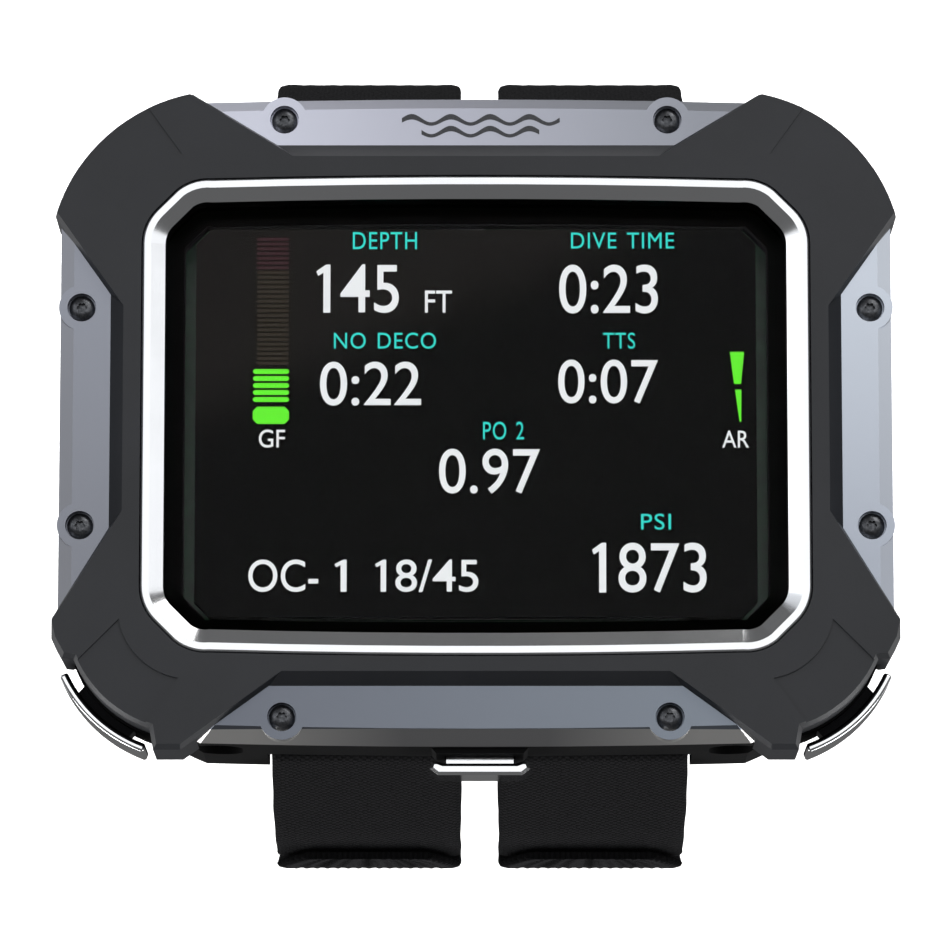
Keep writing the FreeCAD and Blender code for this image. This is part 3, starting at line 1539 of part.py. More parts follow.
def main():
    add_fitted_sizes()
    keys = make_keys()
    frame = make_front_frame()
    make_face_screws()
    make_bezel_ring()
    make_glass()
    make_gasket()
    make_case(keys)
    make_bumper(frame)
    for key in keys:
        make_key_cap(key)
        make_plunger(key)
        make_spring(key)
    make_switches(keys)
    make_cover()
    make_cover_screws()
    make_cover_seal()
    make_sensor()
    make_contacts()
    make_display()
    make_electronics()
    make_strap_pins()
    make_lanyard_bars()
    add_strap_sizes()
    for side, middle in zip(("left", "right"), strap_middles()):
        make_strap(side, middle)
    doc.recompute()
    write_parts()


main()
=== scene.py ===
"""Looks for the wrist dive computer: surfaces, webbing, display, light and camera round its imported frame."""

import json
import math

import bmesh
import bpy
from mathutils import Matrix, Vector


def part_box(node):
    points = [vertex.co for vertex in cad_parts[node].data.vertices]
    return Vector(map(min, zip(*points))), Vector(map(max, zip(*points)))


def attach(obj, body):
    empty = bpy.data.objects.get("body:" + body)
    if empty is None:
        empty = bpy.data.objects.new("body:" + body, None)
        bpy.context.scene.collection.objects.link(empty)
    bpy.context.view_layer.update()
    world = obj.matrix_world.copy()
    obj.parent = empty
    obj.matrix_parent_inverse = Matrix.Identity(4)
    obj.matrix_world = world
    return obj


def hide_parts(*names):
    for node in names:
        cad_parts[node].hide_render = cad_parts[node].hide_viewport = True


MM = 0.001
# strokes per metre of the sine that draws the display's pixel grid
PIXEL_GRID = 52000.0
# in the frame's metres: the inner line of the lower plate's bevel, and how far back the plate's face ends
BEVEL_TOP_Z, PLATE_FACE_Y = -0.03505, -0.02592
# in metres: the corner keys' arc centre (mirrored in x), and the radius where their polished face starts
KEY_ARC_X, KEY_ARC_Z, KEY_FACE_RADIUS = 0.0315, -0.0216, 0.01585
MIDDLE_KEY_REACH = 0.012

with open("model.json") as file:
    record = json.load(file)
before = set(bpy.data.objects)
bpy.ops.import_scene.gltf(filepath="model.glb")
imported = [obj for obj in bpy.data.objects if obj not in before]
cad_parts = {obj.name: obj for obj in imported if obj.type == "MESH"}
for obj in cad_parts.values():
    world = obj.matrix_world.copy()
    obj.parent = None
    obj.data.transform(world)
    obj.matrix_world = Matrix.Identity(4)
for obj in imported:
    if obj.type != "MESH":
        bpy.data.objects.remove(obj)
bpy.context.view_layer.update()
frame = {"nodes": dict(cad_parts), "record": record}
nodes = frame["nodes"]
scene = bpy.context.scene
scene.view_settings.view_transform = "Standard"


# ---- materials -------------------------------------------------------------


class Paint:
    """A procedural material. Its textures are measured in millimetres of the object's own space."""

    def __init__(self, name, **sockets):
        self.material = bpy.data.materials.new(name)
        self.material.use_nodes = True
        self.tree = self.material.node_tree
        self.shader = self.tree.nodes["Principled BSDF"]
        self.bumps = None
        place = self.tree.nodes.new("ShaderNodeTexCoord")
        self.place = place.outputs["Object"]
        self.uv = place.outputs["UV"]
        for socket, value in sockets.items():
            self.set(socket.replace("_", " "), value)

    def set(self, socket, value):
        if isinstance(value, tuple) and len(value) == 3:
            value = (*value, 1.0)
        self.shader.inputs[socket].default_value = value

    def add(self, kind, **inputs):
        node = self.tree.nodes.new(kind)
        for name, value in inputs.items():
            self.feed(node.inputs[name.replace("_", " ")], value)
        return node

    def feed(self, socket, value):
        if hasattr(value, "is_output"):
            self.tree.links.new(value, socket)
        else:
            socket.default_value = value

    def stretched(self, x=1.0, y=1.0, z=1.0, source=None):
        """Coordinates per millimetre, stretched along the axes."""
        node = self.add("ShaderNodeMapping", Vector=source or self.place)
        node.inputs["Scale"].default_value = (x / MM, y / MM, z / MM)
        return node.outputs["Vector"]

    def noise(self, scale, detail=3.0, rough=0.55, stretch=(1, 1, 1), source=None, lift=0.0):
        place = self.stretched(*stretch, source=source)
        node = self.add("ShaderNodeTexNoise", Vector=place, Scale=scale, Detail=detail, Roughness=rough)
        node.inputs["Distortion"].default_value = lift
        return node.outputs["Fac"]

    def ramp(self, value, *stops, smooth=False):
        node = self.add("ShaderNodeValToRGB", Fac=value)
        if smooth:
            node.color_ramp.interpolation = "EASE"
        elements = node.color_ramp.elements
        while len(elements) < len(stops):
            elements.new(0.5)
        for element, (spot, colour) in zip(elements, stops):
            element.position = spot
            grey = not isinstance(colour, tuple)
            element.color = (colour, colour, colour, 1.0) if grey else (*colour, 1.0)
        return node.outputs["Color"]

    def math(self, operation, first, second=0.5, third=None):
        node = self.tree.nodes.new("ShaderNodeMath")
        node.operation = operation
        self.feed(node.inputs[0], first)
        self.feed(node.inputs[1], second)
        if third is not None:
            self.feed(node.inputs[2], third)
        return node.outputs["Value"]

    def axis(self, name, source=None):
        node = self.add("ShaderNodeSeparateXYZ", Vector=source or self.place)
        return node.outputs[name]

    def blend(self, share, first, second):
        node = self.tree.nodes.new("ShaderNodeMix")
        node.data_type = "RGBA"
        self.feed(node.inputs["Factor"], share)
        for socket, colour in (("A", first), ("B", second)):
            socket = [s for s in node.inputs if s.name == socket and s.type == "RGBA"][0]
            self.feed(socket, (*colour, 1.0) if isinstance(colour, tuple) else colour)
        return [s for s in node.outputs if s.type == "RGBA"][0]

    def pixel_grid(self):
        lines = (self.math("SINE", self.math("MULTIPLY", self.axis(a), PIXEL_GRID)) for a in "XZ")
        return self.math("MAXIMUM", *lines)

    def colour(self, value):
        self.feed(self.shader.inputs["Base Color"], value)

    def roughness(self, value, low, high):
        node = self.add("ShaderNodeMapRange", Value=value)
        node.inputs["To Min"].default_value = low
        node.inputs["To Max"].default_value = high
        self.feed(self.shader.inputs["Roughness"], node.outputs["Result"])

    def bump(self, height, depth_mm, strength=1.0):
        node = self.add("ShaderNodeBump", Height=height, Strength=strength, Distance=depth_mm * MM)
        if self.bumps is not None:
            self.feed(node.inputs["Normal"], self.bumps)
        self.bumps = node.outputs["Normal"]
        self.feed(self.shader.inputs["Normal"], self.bumps)


def satin_metal():
    """Bead-blasted metal with a cool cast. Its tone carries painted reflections by place on the frame: painted
    light on the plates at the upper left and the right, painted shade on the lower one, and a painted
    highlight on the bevel below it, lighter towards its ends."""
    p = Paint("satin_metal", Metallic=1.0, Roughness=0.36)
    grain = p.noise(6.0, detail=4.0, rough=0.7)
    broad = p.noise(0.05, detail=2.0)
    x, z = p.axis("X"), p.axis("Z")
    along = p.math("MULTIPLY_ADD", x, 16.0, 0.5)
    upward = p.math("MULTIPLY_ADD", z, 25.0, 0.5)
    # painted reflections: these tones by place on the frame stand in for the studio's light and shade on the
    # plates
    top = p.ramp(along, (0.1, (0.70, 0.715, 0.82)), (0.35, (0.56, 0.57, 0.66)), (0.9, (0.33, 0.345, 0.39)))
    low = p.ramp(along, (0.1, (0.17, 0.185, 0.22)), (0.9, (0.225, 0.255, 0.30)))
    left = p.ramp(upward, (0.1, (0.24, 0.25, 0.285)), (0.9, (0.31, 0.325, 0.375)))
    right = p.ramp(upward, (0.1, (0.44, 0.475, 0.545)), (0.9, (0.64, 0.69, 0.77)))
    # painted highlight: the bevel below the lower plate lightens towards its ends
    outward = p.math("MULTIPLY", p.math("ABSOLUTE", x), 25.0)
    edge = p.ramp(outward, (0.2, (0.40, 0.40, 0.41)), (0.62, (0.95, 0.94, 0.92)))
    under = p.math("LESS_THAN", z, BEVEL_TOP_Z)
    behind = p.math("GREATER_THAN", p.axis("Y"), PLATE_FACE_Y)
    low = p.blend(p.math("MULTIPLY", under, behind), low, edge)
    ends = p.blend(p.math("GREATER_THAN", z, 0.0), low, top)
    sides_painted_shading = p.blend(p.math("GREATER_THAN", x, 0.0), left, right)
    height = p.math("MULTIPLY", p.math("ABSOLUTE", z), 10.0)
    base = p.blend(p.ramp(height, (0.25, 0.0), (0.29, 1.0)), sides_painted_shading, ends)
    p.colour(p.blend(p.math("MULTIPLY", broad, 0.12), base, (0.4, 0.41, 0.45)))
    p.roughness(grain, 0.30, 0.42)
    p.bump(grain, 0.004)
    return p.material


def rubber(name, tone, light, depth_mm=0.02, rough=(0.5, 0.68), scale=3.2, gloss=0.3):
    """Moulded rubber or polymer with a fine stipple, soft cloudy tone and pale specks of dust."""
    p = Paint(name, Roughness=0.6)
    p.set("Specular IOR Level", gloss)
    stipple = p.noise(scale, detail=5.0, rough=0.7)
    cloud = p.noise(0.09, detail=3.0)
    tone_mix = p.ramp(cloud, (0.3, tone), (0.75, light))
    dust = p.ramp(p.noise(1.3, detail=6.0, rough=0.8), (0.70, 0.0), (0.80, 1.0))
    p.colour(p.blend(p.math("MULTIPLY", dust, 0.04), tone_mix, (0.22, 0.22, 0.23)))
    p.roughness(stipple, *rough)
    p.bump(stipple, depth_mm)
    return p.material


def polished_metal(name, tone, rough=(0.07, 0.16), tarnish=0.2, scratch=0.0015):
    """Polished metal with hairline marks and faint smears."""
    p = Paint(name, Metallic=1.0, Roughness=0.1)
    hair = p.noise(1.8, detail=6.0, rough=0.75, stretch=(0.35, 3.0, 3.0))
    smear = p.noise(0.14, detail=3.0)
    dull = tuple(c * 0.72 for c in tone)
    p.colour(p.blend(p.math("MULTIPLY", smear, tarnish), tone, dull))
    p.roughness(p.math("MULTIPLY", p.math("ADD", hair, smear), 0.5), *rough)
    p.bump(hair, scratch)
    return p.material


def key_metal():
    """The keys' metal: polished all over on the middle key. On a corner key the outer face is polished and the
    inner side carries a painted dark reflection, near black and rough, split along the key's own arc."""
    p = Paint("key_chrome", Metallic=1.0, Roughness=0.1)
    out_x = p.math("SUBTRACT", p.math("ABSOLUTE", p.axis("X")), KEY_ARC_X)
    out_z = p.math("ADD", p.axis("Z"), -KEY_ARC_Z)
    radius = p.math("SQRT", p.math("ADD", p.math("POWER", out_x, 2.0), p.math("POWER", out_z, 2.0)))
    face = p.math("GREATER_THAN", radius, KEY_FACE_RADIUS)
    middle = p.math("LESS_THAN", p.math("ABSOLUTE", p.axis("X")), MIDDLE_KEY_REACH)
    bright = p.math("MAXIMUM", face, middle)
    hair = p.noise(1.8, detail=6.0, rough=0.75, stretch=(0.35, 3.0, 3.0))
    # painted dark reflection: a corner key's inner side is coloured near black
    p.colour(p.blend(bright, (0.012, 0.012, 0.013), (0.82, 0.83, 0.85)))
    p.roughness(p.math("MULTIPLY_ADD", hair, 0.1, p.math("MULTIPLY", bright, 0.9)), 0.5, 0.08)
    p.bump(hair, 0.0015)
    return p.material


def dark_screw():
    """Blackened screw steel, worn lighter in spots."""
    p = Paint("dark_screw", Metallic=1.0, Roughness=0.35)
    wear = p.noise(2.6, detail=5.0, rough=0.75)
    p.colour(p.ramp(wear, (0.42, (0.075, 0.078, 0.085)), (0.72, (0.19, 0.195, 0.21))))
    p.roughness(p.noise(5.0), 0.26, 0.46)
    p.bump(p.noise(9.0, detail=2.0), 0.006)
    return p.material


def window_glass():
    """Coated glass: its index is set below real glass, so that it reflects little."""
    p = Paint("window_glass", Roughness=0.015)
    p.set("Transmission Weight", 1.0)
    p.set("IOR", 1.11)
    smear = p.noise(0.12, detail=3.0, lift=0.4)
    p.colour(p.ramp(smear, (0.3, (0.94, 0.95, 0.96)), (0.7, (0.985, 0.985, 0.985))))
    p.roughness(smear, 0.004, 0.02)
    return p.material


def display_black():
    """A switched-on panel: black with a faint pixel grid, and a painted reflection at the upper left: a warm
    emission glow stands in for light reflected on the glass.
    """
    p = Paint("display_black", Roughness=0.3)
    p.set("Specular IOR Level", 0.0)
    grid = p.pixel_grid()
    # painted reflection: warm emission along a diagonal towards the upper left, in place of a reflection on
    # the glass
    slope = p.math("MULTIPLY_ADD", p.axis("Z"), 26.0, p.math("MULTIPLY_ADD", p.axis("X"), -11.0, 0.12))
    painted_reflection_glow = p.ramp(slope, (0.36, (0.0008, 0.0008, 0.0007)), (0.62, (0.012, 0.0105, 0.0095)), smooth=True)
    p.colour(p.blend(p.math("MULTIPLY", grid, 0.12), (0.0008, 0.0008, 0.0008), (0.0022, 0.002, 0.002)))
    p.feed(p.shader.inputs["Emission Color"], painted_reflection_glow)
    p.set("Emission Strength", 0.7)
    return p.material


def lit(name, tone):
    """A lit group of pixels, with the panel's fine grid in its brightness."""
    p = Paint(name, Roughness=0.4)
    p.set("Specular IOR Level", 0.1)
    grid = p.pixel_grid()
    dim = tuple(c * 0.82 for c in tone)
    shade = p.blend(p.math("MULTIPLY_ADD", grid, 0.3, 0.4), tone, dim)
    p.colour((0.02, 0.02, 0.02, 1.0))
    p.feed(p.shader.inputs["Emission Color"], shade)
    p.set("Emission Strength", 1.0)
    return p.material


def webbing():
    """Black elastic webbing: lengthwise cords crossed by fine weft, with fuzz that catches the light."""
    p = Paint("webbing", Roughness=0.9)
    p.set("Specular IOR Level", 0.08)
    p.set("Sheen Weight", 0.06)
    p.set("Sheen Roughness", 0.5)
    p.set("Sheen Tint", (0.55, 0.55, 0.6))
    across, along = p.axis("X", p.uv), p.axis("Y", p.uv)
    wander = p.math("MULTIPLY", p.noise(0.9, source=p.uv), 0.0009)
    cords = p.math("SINE", p.math("MULTIPLY", p.math("ADD", across, wander), 2 * math.pi / (0.92 * MM)))
    step = p.math("MULTIPLY", p.math("SIGN", cords), 0.5 * math.pi)
    weft = p.math("SINE", p.math("ADD", p.math("MULTIPLY", along, 2 * math.pi / (0.62 * MM)), step))
    weave = p.math("MULTIPLY_ADD", weft, 0.35, p.math("MULTIPLY", p.math("ABSOLUTE", cords), 0.6))
    fuzz = p.noise(4.5, detail=6.0, rough=0.8, source=p.uv)
    worn = p.noise(0.12, detail=4.0, source=p.uv)
    tone = p.math("MULTIPLY_ADD", fuzz, 0.7, p.math("MULTIPLY", weave, 0.3))
    base = p.ramp(tone, (0.25, (0.0015, 0.0015, 0.0017)), (0.85, (0.011, 0.011, 0.012)))
    p.colour(p.blend(p.math("MULTIPLY", worn, 0.35), base, (0.012, 0.012, 0.0125)))
    p.roughness(fuzz, 0.8, 0.98)
    p.bump(weave, 0.10)
    p.bump(fuzz, 0.08)
    return p.material


def thread():
    """Twisted black sewing thread."""
    p = Paint("thread", Roughness=0.75)
    p.set("Sheen Weight", 0.3)
    twist = p.noise(6.0, stretch=(1, 3, 3))
    p.colour(p.ramp(twist, (0.3, (0.012, 0.012, 0.013)), (0.7, (0.05, 0.05, 0.053))))
    p.bump(twist, 0.03)
    return p.material


def plain(name, low, high, rough=(0.4, 0.6), metallic=0.0, scale=1.5, depth_mm=0.01):
    """A hidden or minor piece's surface: mottled between two tones, lightly rough."""
    p = Paint(name, Metallic=metallic)
    spots = p.noise(scale, detail=4.0)
    p.colour(p.ramp(spots, (0.3, low), (0.7, high)))
    p.roughness(spots, *rough)
    p.bump(spots, depth_mm)
    return p.material


PAINTS = {
    "satin_metal": satin_metal(),
    "dark_screw": dark_screw(),
    "polished_steel": polished_metal("polished_steel", (0.80, 0.81, 0.83), rough=(0.10, 0.22)),
    "key_chrome": key_metal(),
    "window_glass": window_glass(),
    "black_rubber": rubber("black_rubber", (0.008, 0.008, 0.009), (0.02, 0.02, 0.021)),
    "bumper_rubber": rubber(
        "bumper_rubber", (0.0150, 0.0168, 0.0215), (0.0200, 0.0220, 0.0280), 0.01, (0.4, 0.52), gloss=0.55
    ),
    "case_polymer": rubber(
        "case_polymer", (0.004, 0.004, 0.0043), (0.007, 0.007, 0.0075), 0.02, (0.6, 0.75), 2.2, 0.1
    ),
    "cover_polymer": rubber(
        "cover_polymer", (0.014, 0.014, 0.015), (0.024, 0.024, 0.026), 0.035, (0.4, 0.6), 1.6
    ),
    "sensor_steel": polished_metal("sensor_steel", (0.52, 0.53, 0.55), (0.22, 0.38), 0.4, 0.004),
    "gold_contact": polished_metal("gold_contact", (0.83, 0.60, 0.22), (0.15, 0.3), 0.5, 0.003),
    "webbing": webbing(),
    "hook_patch": rubber("hook_patch", (0.006, 0.006, 0.007), (0.02, 0.02, 0.022), 0.12, (0.7, 0.9), 2.8),
    "display_black": display_black(),
    "lamp_white": plain("lamp_white", (0.62, 0.62, 0.6), (0.78, 0.78, 0.76)),
    "cable_film": plain("cable_film", (0.32, 0.15, 0.03), (0.45, 0.24, 0.06), (0.2, 0.35)),
    "board_green": plain("board_green", (0.01, 0.07, 0.03), (0.02, 0.13, 0.05), (0.25, 0.4), 0.0, 0.7),
    "chip_black": plain("chip_black", (0.01, 0.01, 0.01), (0.022, 0.022, 0.022)),
    "battery_foil": plain(
        "battery_foil", (0.38, 0.39, 0.41), (0.55, 0.56, 0.58), (0.25, 0.45), 1.0, 0.3, 0.05
    ),
    "foam_black": rubber("foam_black", (0.01, 0.01, 0.01), (0.03, 0.03, 0.03), 0.2, (0.85, 0.95), 1.2),
    "spring_steel": polished_metal("spring_steel", (0.6, 0.6, 0.62), (0.12, 0.25)),
}

slot_of = {s["node"]: s["material_slot"] for s in frame["record"]["subparts"]}
for name, thing in nodes.items():
    thing.data.materials.clear()
    thing.data.materials.append(PAINTS[slot_of[name]])


# ---- softened edges on the CAD pieces --------------------------------------


def soften(name, width_mm):
    """Rounds a CAD piece's sharp edges a little, so that they catch the light."""
    thing = nodes[name]
    bevel = thing.modifiers.new("edge", "BEVEL")
    bevel.width = width_mm * MM
    bevel.segments = 3
    bevel.limit_method = "ANGLE"
    bevel.angle_limit = math.radians(32)
    bevel.harden_normals = True
    bevel.miter_outer = "MITER_ARC"


for name, width in (
    ("front_frame", 0.09), ("bezel_ring", 0.12), ("face_screws", 0.05), ("mid_case", 0.12),
    ("rear_cover", 0.12), ("left_key", 0.08), ("right_key", 0.08), ("middle_key", 0.1),
    ("corner_bumper", 0.25), ("sensor_guard", 0.06), ("contact_block", 0.08),
):  # fmt: skip
    soften(name, width)


# ---- mesh helpers ----------------------------------------------------------


def finish_piece(name, mesh, paint, body, node=None, smooth=True):
    """Makes an object of a bmesh, paints it, sets what it rides on, and hides the CAD node it stands for."""
    data = bpy.data.meshes.new(name)
    mesh.to_mesh(data)
    mesh.free()
    if smooth:
        data.polygons.foreach_set("use_smooth", [True] * len(data.polygons))
    piece = bpy.data.objects.new(name, data)
    scene.collection.objects.link(piece)
    data.materials.append(paint)
    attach(piece, body)
    if node:
        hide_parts(node)
    return piece


# ---- straps ----------------------------------------------------------------

# in mm, seen from the side: the pins and the webbing's radius on them, the curves round the wrist, the
# webbing's thickness and the gap between its layers, the sewn end; and in degrees, where the tail ends
PIN_Y, PIN_Z, WRAP = -11.5, 35.0, 1.15
SIDE_Y, SIDE_Z, SIDE_R, BACK_Y, DROP = 11.0, 20.3, 23.3, 50.0, 0.4
THICK, GAP, SEWN_TURN, SEWN_LENGTH, TAIL_ANGLE = 1.0, 0.4, 196.0, 7.7, 100.0
# in mm: the spacing of the ribbon's rows, the length of its narrowed tip and how much it narrows there
ROW_STEP, TIP_LENGTH, TIP_NARROWING = 0.45, 7.0, 3.4
# in mm: the span of the box stitching, back from the free end, and the thread's lift off the middle line
BOX_START, BOX_END, THREAD_LIFT = 28, 9, THICK / 2 - 0.04


def polar(centre, radius, degrees):
    angle = math.radians(degrees)
    return Vector((centre[0] + radius * math.cos(angle), centre[1] + radius * math.sin(angle)))


def strap_line():
    """The middle of the webbing in (y, z) mm, from its sewn end to its free end, and the outward side."""
    reach = BACK_Y - SIDE_R
    back_y = (reach**2 - SIDE_Y**2 - SIDE_Z**2) / (2 * (reach - SIDE_Y))
    back_r = BACK_Y - back_y
    meet = math.degrees(math.atan2(SIDE_Z, SIDE_Y - back_y))
    low_pin, high_pin = (PIN_Y, -PIN_Z), (PIN_Y, PIN_Z)
    low_side, high_side, back = (SIDE_Y, -SIDE_Z - DROP), (SIDE_Y, SIDE_Z - DROP), (back_y, -DROP)

    def lean(pin, side, pull, sign):
        gap = Vector(side) - Vector(pin)
        return math.degrees(math.atan2(gap.y, gap.x) + sign * math.acos(pull / gap.length))

    low = lean(low_pin, low_side, WRAP - SIDE_R, -1)
    high = lean(high_pin, high_side, -(SIDE_R + WRAP + THICK), 1)
    fold = SIDE_R + THICK + GAP
    folded = lean(high_pin, high_side, WRAP - fold, 1)
    half = THICK / 2
    points = []

    def arc(centre, radius, start, end, out):
        steps = max(4, int(abs(math.radians(end - start)) * radius / 0.6))
        for i in range(steps + 1):
            angle = start + (end - start) * i / steps
            side = polar((0, 0), 1.0, angle) * out
            points.append((polar(centre, radius, angle), side))

    start = polar(low_pin, WRAP + half, low - SEWN_TURN)
    for i in range(12, 0, -1):
        place = polar(start, SEWN_LENGTH * i / 12, low - SEWN_TURN - 90)
        points.append((place, polar((0, 0), 1.0, low - SEWN_TURN)))
    arc(low_pin, WRAP + half, low - SEWN_TURN, low, 1)
    arc(low_side, SIDE_R + half, low, -meet, 1)
    arc(back, back_r + half, -meet, meet, 1)
    arc(high_side, SIDE_R + half, meet, high, 1)
    arc(high_pin, WRAP + half, high + 180, folded, -1)
    arc(high_side, fold + half, folded, meet, 1)
    arc(back, back_r + THICK + GAP + half, meet, -meet, 1)
    arc(low_side, fold + half, -meet, -TAIL_ANGLE, 1)
    return points


def evened(points):
    """Points at even steps along the line, so that the weave keeps its size."""
    line = [points[0]]
    for place, side in points[1:]:
        before, before_side = line[-1]
        run = (place - before).length
        count = int(run // ROW_STEP)
        for i in range(1, count + 1):
            share = i / (count + 0.0001)
            if share < 1.0:
                line.append((before.lerp(place, share), before_side.lerp(side, share).normalized()))
        if run > 1e-4:
            line.append((place, side))
    return line


def make_webbing(side, node):
    """One strap: a ribbon with rounded selvedges, a little uneven, narrowing at its free end."""
    low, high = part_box(node)
    middle, half = (low.x + high.x) / 2 / MM, (high.x - low.x) / 2 / MM - 0.02
    line = evened(strap_line())
    total = len(line)
    edge = [(-1.0, 0.0), (-0.985, 0.62), (-0.95, 0.9)] + [(-0.9 + 1.8 * i / 22, 1.0) for i in range(23)]
    edge += [(0.95, 0.9), (0.985, 0.62), (1.0, 0.0)]
    profile = edge + [(x, -lift) for x, lift in edge[-2:0:-1]]
    mesh = bmesh.new()
    grain = mesh.loops.layers.uv.new("weave")
    rows, lengths, run = [], [], 0.0
    for i, (place, out) in enumerate(line):
        if i:
            run += (place - line[i - 1][0]).length
        lengths.append(run)
        rest = (total - 1 - i) * ROW_STEP
        narrow = half
        if rest < TIP_LENGTH:
            narrow = half - TIP_NARROWING * (1 - rest / TIP_LENGTH) ** 2
        wobble = 0.05 * math.sin(run * 0.31 + middle) + 0.03 * math.sin(run * 0.83)
        row = []
        for x, lift in profile:
            rib = 0.025 * math.cos(x * half * 2 * math.pi / 2.3)
            ridge = 0.04 if 0.80 < abs(x) < 0.95 else 0.0
            depth = (THICK / 2 - 0.07) * lift + (rib + ridge) * (1 if lift > 0 else -1) * abs(lift)
            spot = place + out * depth
            row.append(mesh.verts.new(((middle + x * (narrow + wobble)) * MM, spot.x * MM, spot.y * MM)))
        rows.append(row)
    count = len(profile)
    spans = [p[0] * half for p in profile]
    for i in range(total - 1):
        for j in range(count):
            k = (j + 1) % count
            face = mesh.faces.new((rows[i][j], rows[i][k], rows[i + 1][k], rows[i + 1][j]))
            corners = ((j, i), (k, i), (k, i + 1), (j, i + 1))
            for loop, (col, row) in zip(face.loops, corners):
                loop[grain].uv = (spans[col] * MM, lengths[row] * MM)
    for row in (rows[0], rows[-1]):
        face = mesh.faces.new(row if row is rows[-1] else row[::-1])
        for loop, span in zip(face.loops, spans):
            loop[grain].uv = (span * MM, 0.0)
    mesh.normal_update()
    bmesh.ops.recalc_face_normals(mesh, faces=mesh.faces)
    piece = finish_piece(f"{side}_webbing", mesh, PAINTS["webbing"], "case", node)
    make_stitches(side, line, lengths, middle, half)


def add_stitch(mesh, start, end, out, thick):
    """A single thread loop lying on the webbing, from start to end."""
    along = end - start
    turn = Matrix((along.normalized(), out, along.normalized().cross(out))).transposed()
    made = bmesh.ops.create_uvsphere(mesh, u_segments=8, v_segments=5, radius=1.0)
    size = Matrix.Diagonal((along.length / 2, thick, thick))
    for vert in made["verts"]:
        vert.co = turn @ (size @ vert.co) + (start + end) / 2


def make_stitches(side, line, lengths, middle, half):
    """Box stitching with a cross in it, near the free end."""
    mesh = bmesh.new()
    total = lengths[-1]

    def at(length, x):
        i = min(range(len(lengths)), key=lambda n: abs(lengths[n] - length))
        place, out = line[i]
        spot = place + out * THREAD_LIFT
        return Vector(((middle + x) * MM, spot.x * MM, spot.y * MM)), Vector((0, out.x, out.y))

    def row(first, last, x_first, x_last):
        span = math.hypot(last - first, x_last - x_first)
        count = max(1, int(span / 1.15))
        for i in range(count):
            a, b = (i + 0.12) / count, (i + 0.80) / count
            start, out = at(first + (last - first) * a, x_first + (x_last - x_first) * a)
            end, _ = at(first + (last - first) * b, x_first + (x_last - x_first) * b)
            add_stitch(mesh, start, end, out, 0.14 * MM)

    inner = half - 1.6
    start, end = total - BOX_START, total - BOX_END
    for first, last, a, b in (
        (start, end, -inner, -inner), (start, end, inner, inner),
        (end, end, -inner, inner), (start, start, -inner, inner),
        (start, end, -inner, inner), (start, end, inner, -inner),
    ):  # fmt: skip
        row(first, last, a, b)
    piece = finish_piece(f"{side}_strap_stitches", mesh, thread_paint, "case")


thread_paint = thread()
for side in ("left", "right"):
    make_webbing(side, f"{side}_strap")


# ---- wave mark ---------------------------------------------------------------


def etched():
    """Darkened, dull metal."""
    p = Paint("etched_mark", Metallic=0.6, Roughness=0.6)
    grain = p.noise(5.0, detail=4.0)
    p.colour(p.ramp(grain, (0.3, (0.07, 0.072, 0.08)), (0.7, (0.11, 0.112, 0.12))))
    p.bump(grain, 0.01)
    return p.material


def make_mark():
    """Two plain wave lines etched on the plate above the window."""
    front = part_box("front_frame")[0].y - 0.006 * MM
    mesh = bmesh.new()
    for start, end, level in ((-8.3, 9.4, 33.65), (-6.1, 7.1, 32.3)):
        before = None
        for i in range(81):
            x = start + (end - start) * i / 80
            swing = math.sin((x - 0.5) * 2 * math.pi / 4.4)
            z = level + 0.42 * swing
            wide = 0.26 + 0.06 * swing
            pair = [mesh.verts.new((x * MM, front, (z + lift) * MM)) for lift in (-wide, wide)]
            if before:
                mesh.faces.new((before[0], pair[0], pair[1], before[1]))
            before = pair
    bmesh.ops.recalc_face_normals(mesh, faces=mesh.faces)
    piece = finish_piece("wave_mark", mesh, etched(), "case", smooth=False)


make_mark()


# ---- display ---------------------------------------------------------------

TEAL, WHITE, GREEN = (0.03, 0.79, 0.68), (0.93, 0.95, 0.96), (0.13, 0.95, 0.02)
INKS = {
    "teal": lit("pixels_teal", TEAL),
    "white": lit("pixels_white", WHITE),
    "green": lit("pixels_green", GREEN),
    "brown": lit("pixels_brown", (0.020, 0.012, 0.002)),
    "red": lit("pixels_red", (0.034, 0.002, 0.006)),
}
display_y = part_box("lcd_panel")[0].y - 0.05 * MM

# each word's text and ink, then its middle x and z, width and height in mm
WORDS = (
    ("DEPTH", "teal", -10.22, 20.72, 7.2, 1.95), ("45", "white", -11.92, 15.22, 6.56, 5.55),
    ("FT", "white", -4.2, 13.74, 3.03, 2.52), ("DIVE TIME", "teal", 16.48, 20.72, 11.58, 1.83),
    ("0:23", "white", 14.88, 15.17, 11.09, 5.6), ("NO DECO", "teal", -10.19, 9.28, 11.44, 1.83),
    ("0:22", "white", -11.8, 4.38, 11.33, 5.01), ("TTS", "teal", 16.05, 9.28, 3.58, 1.83),
    ("0:07", "white", 14.8, 4.62, 11.19, 5.01), ("PO 2", "teal", 3.09, -0.96, 4.58, 2.04),
    ("0.97", "white", 1.52, -5.55, 11.29, 5.1), ("PSI", "teal", 20.1, -11.27, 3.34, 1.8),
    ("873", "white", 20.80, -16.46, 9.83, 5.64), ("OC-", "white", -21.47, -17.37, 7.8, 3.66),
    ("8/45", "white", -4.35, -17.37, 9.26, 3.66),
    ("GF", "white", -22.81, -1.86, 2.92, 2.05), ("AR", "white", 29.04, -1.92, 3.01, 1.93),
)  # fmt: skip
# the figure one is drawn on its own: x, z, width and height in mm
ONES = (
    (-17.12, 15.22, 1.58, 5.49), (13.73, -16.46, 1.58, 5.6),
    (-15.08, -17.37, 1.35, 3.6), (-10.62, -17.37, 1.24, 3.6),
)  # fmt: skip


